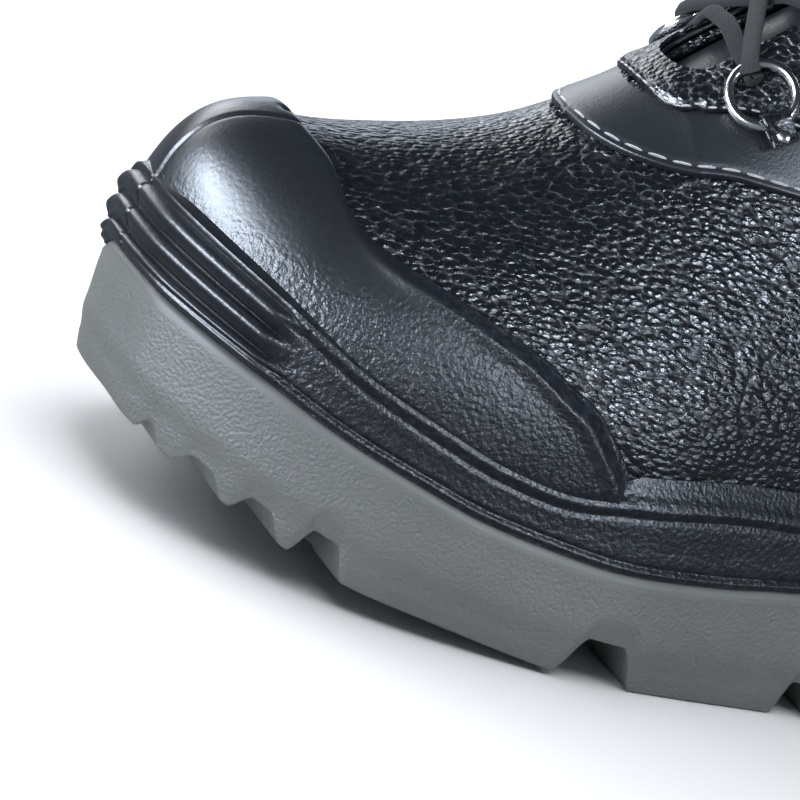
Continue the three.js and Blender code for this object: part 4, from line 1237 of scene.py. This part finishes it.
def makeCollar():
    shape = collarShape
    angles = np.linspace(0, 2 * np.pi, shape["around"] + 1)
    tall = np.sign(np.sin(angles)) * np.abs(np.sin(angles)) ** shape["squareness"]
    thick = np.sign(np.cos(angles)) * np.abs(np.cos(angles)) ** shape["squareness"]
    row = shape["middle"] + shape["half"] * tall
    level = (tall + 1) / 2
    channel = 1 - shape["seamDepth"] * bump(level - shape["seam"], shape["seamWidth"])
    middle = -bootForm["wall"] / 2
    outer = shape["outer"] - middle
    inner = shape["inner"] + bootForm["wall"] + middle
    height = middle + np.where(thick > 0, outer, inner) * thick * channel
    front = facingTurn(np.clip(row, 9.6, lastRow)) + shape["frontGap"]
    strips = []
    parts = np.linspace(0, 1, shape["columns"])
    ease = 1 - (1 - np.clip(parts / shape["frontRun"], 0, 1)) ** 2
    for side in (1, -1):
        turns = np.array([mix(start, 1.0, parts) for start in front]) * side
        rowGrid = np.broadcast_to(row[:, None], turns.shape)
        lifted = middle + (height[:, None] - middle) * np.sqrt(ease)[None]
        places = onLast(np.minimum(rowGrid, lastRow), turns)
        beyond = np.maximum(rowGrid - lastRow, 0)
        places = places + outward(np.minimum(rowGrid, lastRow), turns) * lifted[..., None]
        places[..., 2] += beyond * shape["above"]
        first = places[:, :1].mean(axis=0, keepdims=True)
        places = np.concatenate([np.broadcast_to(first, (len(row), 1, 3)), places], axis=1)
        strips.append(grid("collar_strip", places if side > 0 else places[:, ::-1]))
    piece = close(join("padded_collar", strips), angle=60)
    return finish(piece, collarLeather, ["collar"])


tongueShape = {
    "rows": 150, "around": 48, "half": 23.5, "thick": 3.6, "middle": -4.6, "first": 8.8, "rise": 14,
    "topSteps": 22, "topSwell": 0.25, "narrowing": 0.45,
}


def makeTongue():
    shape = tongueShape
    rows = np.linspace(shape["first"], lastRow, shape["rows"])
    extra = np.linspace(0, 1, shape["topSteps"])[1:]
    frontX, frontZ, baseX, baseZ = sectionOf(np.array(float(lastRow)))
    up = np.array([-(frontZ - baseZ), 0, frontX - baseX])
    up = up / np.linalg.norm(up)
    if up[2] < 0:
        up = -up
    angles = np.linspace(0, 2 * np.pi, shape["around"] + 1)
    across = np.cos(angles)
    thick = np.sign(np.sin(angles)) * np.abs(np.sin(angles)) ** 0.6
    loops = []
    for at, lift in [(row, 0.0) for row in rows] + [(float(lastRow), t) for t in extra]:
        narrow = 1.0
        if lift > 0:
            narrow = 1 - np.clip((lift - 0.35) / 0.65, 0, 1) ** 2.6 * shape["narrowing"]
        width = np.abs(across) * shape["half"] * narrow
        turn = turnAtWidth(np.full(len(width), at), width) * np.sign(across + 1e-9)
        swell = shape["thick"] / 2 * (1 + shape["topSwell"] * (lift > 0))
        edge = smooth((at - shape["first"]) / 0.3) if at < shape["first"] + 0.3 else 1.0
        if lift > 0:
            edge = np.sqrt(max(0.0, 1 - max(0.0, (lift - 0.75) / 0.25) ** 2))
        height = shape["middle"] + thick * swell * max(edge, 0.05)
        rowsHere = np.full(len(turn), at)
        place = onLast(rowsHere, turn) + outward(rowsHere, turn) * height[:, None]
        loops.append(place + up * lift * shape["rise"])
    places = np.array(loops)
    places = np.concatenate([
        np.broadcast_to(places[:1].mean(axis=1, keepdims=True), (1,) + places.shape[1:]), places,
        np.broadcast_to(places[-1:].mean(axis=1, keepdims=True), (1,) + places.shape[1:]),
    ])
    piece = close(grid("padded_tongue", places), angle=60)
    return finish(piece, collarLeather, ["tongue"])


makeCollar()
makeTongue()
print("collar and tongue made")


lacing = {
    "radius": 7.2, "wire": 2.2, "pairs": 4, "firstRow": 11.12, "lastRow": 18.2, "setback": 1.6,
    "sink": (0.6, 0.3, 0.1, 0), "strapWidth": 6, "strap": 1.0, "lace": (4.2, 2.4), "laceStep": 1.1,
    "rivet": 1.6, "rivetFlat": 0.45,
}
# the strap's tail, fold and return, in its own clearance, and the part of a turn round the ring in degrees
strapRun = {"tail": 2.9, "fold": 1.9, "back": 1.4, "rivet": 2.0, "around": (55, 262)}
# heights and reaches of the lace over the throat and through the rings, in millimetres
laceRun = {
    "overAt": (0.3, 0.5, 0.7), "overThroat": 1.6, "through": 3.4, "below": 1.1, "dip": -0.4, "above": 1.2,
    "end": (0.6, 2.2), "first": 0.4, "overOther": 1.9, "underOther": -0.6, "flatSide": (0.75, 0, 0.66),
}
facingTop = 2 * bootForm["gap"] + 2 * bootForm["panel"]
ringSeat = facingTop + bootForm["gap"] + lacing["wire"] / 2
ringOut = bootForm["throatHalf"] + lacing["radius"] + lacing["setback"]


def ringRows():
    at = np.linspace(lacing["firstRow"], lacing["lastRow"], 61)
    frontX, frontZ, _, _ = sectionOf(at)
    run = np.concatenate([[0], np.cumsum(np.hypot(np.diff(frontX), np.diff(frontZ)))])
    return np.interp(np.linspace(0, run[-1], lacing["pairs"]), run, at)


def frameAt(row, out, side, sink=0.0):
    turn = turnAtWidth(np.array([row]), np.array([out]))[0] * side
    origin = onLast(row, turn)
    along = onLast(row + 0.2, turn) - onLast(row - 0.2, turn)
    along = along / np.linalg.norm(along)
    normal = outward(row, turn)
    sideways = np.cross(along, normal) * side
    sideways = sideways / np.linalg.norm(sideways)
    normal = np.cross(sideways, along) * side
    return origin - normal * sink, along, sideways, normal


def frameMatrix(along, sideways, normal, centre):
    return Matrix((
        (along[0], sideways[0], normal[0], centre[0]),
        (along[1], sideways[1], normal[1], centre[1]),
        (along[2], sideways[2], normal[2], centre[2]),
        (0, 0, 0, 1),
    ))


def makeRing(name, place, node):
    origin, along, sideways, normal = place
    deselectAll()
    bpy.ops.mesh.primitive_torus_add(
        major_radius=lacing["radius"] * millimetre, minor_radius=lacing["wire"] / 2 * millimetre,
        major_segments=56, minor_segments=16,
    )
    ring = bpy.context.object
    ring.name = name
    ring.data.name = name
    centre = (origin + normal * ringSeat) * millimetre
    ring.data.transform(frameMatrix(along, sideways, normal, centre))
    ring.location = (0, 0, 0)
    close(ring)
    return finish(ring, nickel, [node])


def makeStrap(name, place, node):
    origin, along, sideways, normal = place
    bow = lacing["strapWidth"] ** 2 / (8 * lacing["radius"])
    clear = (lacing["wire"] / 2 + bow / 2 + bootForm["gap"]) * 1.05
    hub = lacing["radius"] - bow / 2
    foot = facingTop + bootForm["gap"]
    radius = clear + lacing["strap"] / 2
    tail = hub + strapRun["tail"] * clear
    points = [(tail, foot + 1.5), (hub + strapRun["fold"] * clear, foot + 1.6)]
    for angle in np.radians(np.linspace(*strapRun["around"], 14)):
        low = foot + lacing["strap"] / 2
        points.append((hub + radius * math.cos(angle), max(ringSeat + radius * math.sin(angle), low)))
    points += [(hub + strapRun["back"] * clear, foot + 0.5), (tail, foot + 0.5)]
    profile = throughPoints(np.array([(a, b, 0) for a, b in points]), 5)
    path = origin + sideways * profile[:, :1] + normal * profile[:, 1:2]
    forward = np.gradient(path, axis=0)
    forward /= np.linalg.norm(forward, axis=1, keepdims=True)
    across = np.broadcast_to(along, path.shape)
    up = np.cross(forward, across)
    box = roundedBox(lacing["strapWidth"], lacing["strap"], 0.35, 3)
    strap = sweep(name, path, across, up, box, 40)
    setMask(strap, "grainMask", np.full(len(strap.data.vertices), 0.4))
    finish(strap, leather, [node])
    deselectAll()
    bpy.ops.mesh.primitive_uv_sphere_add(segments=20, ring_count=12, radius=lacing["rivet"] * millimetre)
    rivet = bpy.context.object
    rivet.name = name.replace("strap", "rivet")
    rivet.data.transform(Matrix.Diagonal((1, 1, lacing["rivetFlat"], 1)))
    reach = hub + strapRun["rivet"] * clear
    centre = (origin + sideways * reach + normal * (foot + 2.05)) * millimetre
    rivet.data.transform(frameMatrix(along, sideways, normal, centre))
    close(rivet)
    finish(rivet, nickel)
    return strap


places = {}
for pair, row in enumerate(ringRows()):
    for side, word in ((1, "lateral"), (-1, "medial")):
        place = frameAt(row, ringOut, side, lacing["sink"][pair])
        places[pair, side] = place
        number = str(pair + 1)
        makeRing("nickel_ring_" + word + "_" + number, place, "ring_" + word + "_" + number)
        makeStrap("ring_strap_" + word + "_" + number, place, "tab_" + word + "_" + number)
print("rings and straps made")


def lacePoint(place, inward, height):
    origin, _, sideways, normal = place
    return origin + sideways * inward + normal * (ringSeat + height)


def overThroat(rowA, rowB, sideA, rise):
    points = []
    for t in laceRun["overAt"]:
        row = mix(rowA, rowB, t)
        away = abs(1 - 2 * t) * (ringOut - lacing["radius"])
        side = sideA if t < 0.5 else -sideA
        origin, _, _, normal = frameAt(row, max(away, 0.3), side)
        height = facingTop + laceRun["overThroat"] + rise * (1 - abs(1 - 2 * t))
        points.append(origin + normal * height)
    return points


def makeLace():
    rows = ringRows()
    halfWire = lacing["wire"] / 2
    inner = -lacing["radius"]
    deep = inner + laceRun["through"]
    strands = []
    for start in (1, -1):
        points = overThroat(rows[0], rows[0], -start, laceRun["first"])[1:]
        side = start
        for pair in range(lacing["pairs"]):
            place = places[pair, side]
            points.append(lacePoint(place, inner, -halfWire - laceRun["below"]))
            points.append(lacePoint(place, deep, laceRun["dip"]))
            if pair == lacing["pairs"] - 1:
                points.append(lacePoint(place, deep + laceRun["end"][0], laceRun["end"][1]))
                break
            points.append(lacePoint(place, inner, halfWire + laceRun["above"]))
            over = (side > 0) == (pair % 2 == 0)
            rise = laceRun["overOther"] if over else laceRun["underOther"]
            points += overThroat(rows[pair], rows[pair + 1], side, rise)
            side = -side
        strands.append(points)
    path = strands[0][::-1] + strands[1][1:]
    path = evenly(throughPoints(path), lacing["laceStep"])
    forward = np.gradient(path, axis=0)
    forward /= np.linalg.norm(forward, axis=1, keepdims=True)
    upward = np.array(laceRun["flatSide"])
    across = np.cross(forward, upward)
    across /= np.linalg.norm(across, axis=1, keepdims=True)
    up = np.cross(across, forward)
    width, height = lacing["lace"]
    lace = sweep("boot_lace", path, across, up, oval(width, height, 14), 70)
    return finish(lace, laceWeave, ["lace_crossings"])


makeLace()
print("lace made")


# One row of stitches, each a small swollen bar whose ends dip into the leather
def threadRow(name, path, normals, length, gap, thickness, material):
    run = np.concatenate([[0], np.cumsum(np.linalg.norm(np.diff(path, axis=0), axis=1))])
    count = int(run[-1] // (length + gap))
    deselectAll()
    bpy.ops.mesh.primitive_uv_sphere_add(segments=8, ring_count=6, radius=0.5)
    seed = bpy.context.object
    shape = np.empty(len(seed.data.vertices) * 3)
    seed.data.vertices.foreach_get("co", shape)
    shape = shape.reshape(-1, 3)
    faces = [tuple(face.vertices) for face in seed.data.polygons]
    bpy.data.objects.remove(seed)
    swollen = np.sign(shape) * np.abs(shape * 2) ** np.array([1, 1, 0.6]) / 2
    corners = []
    polygons = []
    for k in range(count):
        middle = (k + 0.5) * (length + gap)
        centre = np.array([np.interp(middle, run, path[:, i]) for i in range(3)])
        ahead = np.array([np.interp(middle + 0.6, run, path[:, i]) for i in range(3)])
        behind = np.array([np.interp(middle - 0.6, run, path[:, i]) for i in range(3)])
        normal = np.array([np.interp(middle, run, normals[:, i]) for i in range(3)])
        forward = (ahead - behind) / np.linalg.norm(ahead - behind)
        across = np.cross(normal, forward)
        across /= np.linalg.norm(across)
        normal = np.cross(forward, across)
        lengthwise = swollen[:, 2:3]
        sag = (lengthwise * 2) ** 2 * thickness * 0.35
        block = centre + forward * lengthwise * length + across * swollen[:, :1] * thickness
        block = block + normal * (swollen[:, 1:2] * thickness - sag)
        base = k * len(shape)
        corners.append(block)
        polygons += [tuple(index + base for index in face) for face in faces]
    mesh = bpy.data.meshes.new(name)
    mesh.from_pydata((np.concatenate(corners) * millimetre).tolist(), [], polygons)
    piece = bpy.data.objects.new(name, mesh)
    bpy.context.scene.collection.objects.link(piece)
    close(piece, merge=0.0000001, angle=80)
    return finish(piece, material)


# A line beside a border, moved into the piece and laid on its surface
def besideBorder(rows, turns, inward, height):
    path = onLast(rows, turns)
    normal = outward(rows, turns)
    along = np.gradient(path, axis=0)
    along /= np.maximum(np.linalg.norm(along, axis=1, keepdims=True), 1e-9)
    into = np.cross(normal, along)
    into /= np.maximum(np.linalg.norm(into, axis=1, keepdims=True), 1e-9)
    return path + into * inward + normal * height, normal


stitching = {
    "panel": {"length": 4.2, "gap": 1.2, "thickness": 0.62, "inset": 2.0, "height": 1.6},
    "facing": {"length": 2.5, "gap": 0.55, "thickness": 0.6, "inset": 0.9, "height": 2.75},
}


def makeStitches():
    for side, word in ((1, "out"), (-1, "in")):
        rows = gathered(panelFirst + 0.002, 18.0, 900)
        turns = panelTurn(rows)
        look = stitching["panel"]
        path, normal = besideBorder(rows, turns * side, look["inset"] * side, look["height"])
        threadRow("panel_stitches_" + word, path, normal, look["length"], look["gap"], look["thickness"],
                  whiteThread)
        rows = gathered(facingFirst + 0.002, 19.7, 900)
        turns = facingTurn(rows)
        look = stitching["facing"]
        path, normal = besideBorder(rows, turns * side, look["inset"] * side, look["height"])
        threadRow("facing_stitches_" + word, path, normal, look["length"], look["gap"], look["thickness"],
                  whiteThread)


makeStitches()
print("stitches made")

footBedShape = {"step": 2.4, "columns": 40, "thick": 3.4, "setback": 7.5, "arch": 1.0, "edge": 1.2}


# The foot bed stands on the board inside the boot
def makeFootBed():
    shape = footBedShape
    shares = np.linspace(0.03, 0.965, int(bootForm["length"] / shape["step"]))
    x = shares * bootForm["length"] - bootForm["behind"]
    half = halfOf(shares) * roundOf(shares) - shape["setback"]
    parts = np.linspace(-1, 1, shape["columns"])
    y = centreOf(shares)[:, None] + half[:, None] * parts
    low = np.broadcast_to((bedOf(shares) + bootForm["gap"])[:, None], y.shape)
    edge = np.minimum((1 - np.abs(parts))[None] * half[:, None],
                      np.minimum(shares - shares[0], shares[-1] - shares)[:, None] * bootForm["length"])
    crown = shape["thick"] - shape["edge"] * (1 - rounded(edge / 2, 2)) - shape["arch"] * bump(edge - 16, 9)
    across = np.broadcast_to(x[:, None], y.shape)
    top = np.stack([across, y, low + crown], -1)
    under = np.stack([across, y, low], -1)
    upper = grid("foot_bed_top", top)
    lower = grid("foot_bed_under", under)
    ring = []
    for places in (top, under):
        ring.append(np.concatenate([places[0], places[1:, -1], places[-1, -2::-1], places[-2::-1, 0]]))
    rim = grid("foot_bed_rim", np.stack(ring))
    piece = close(join("foot_bed", [upper, lower, rim]), angle=50)
    return finish(piece, lining, ["insole"])


makeFootBed()
print("foot bed made")
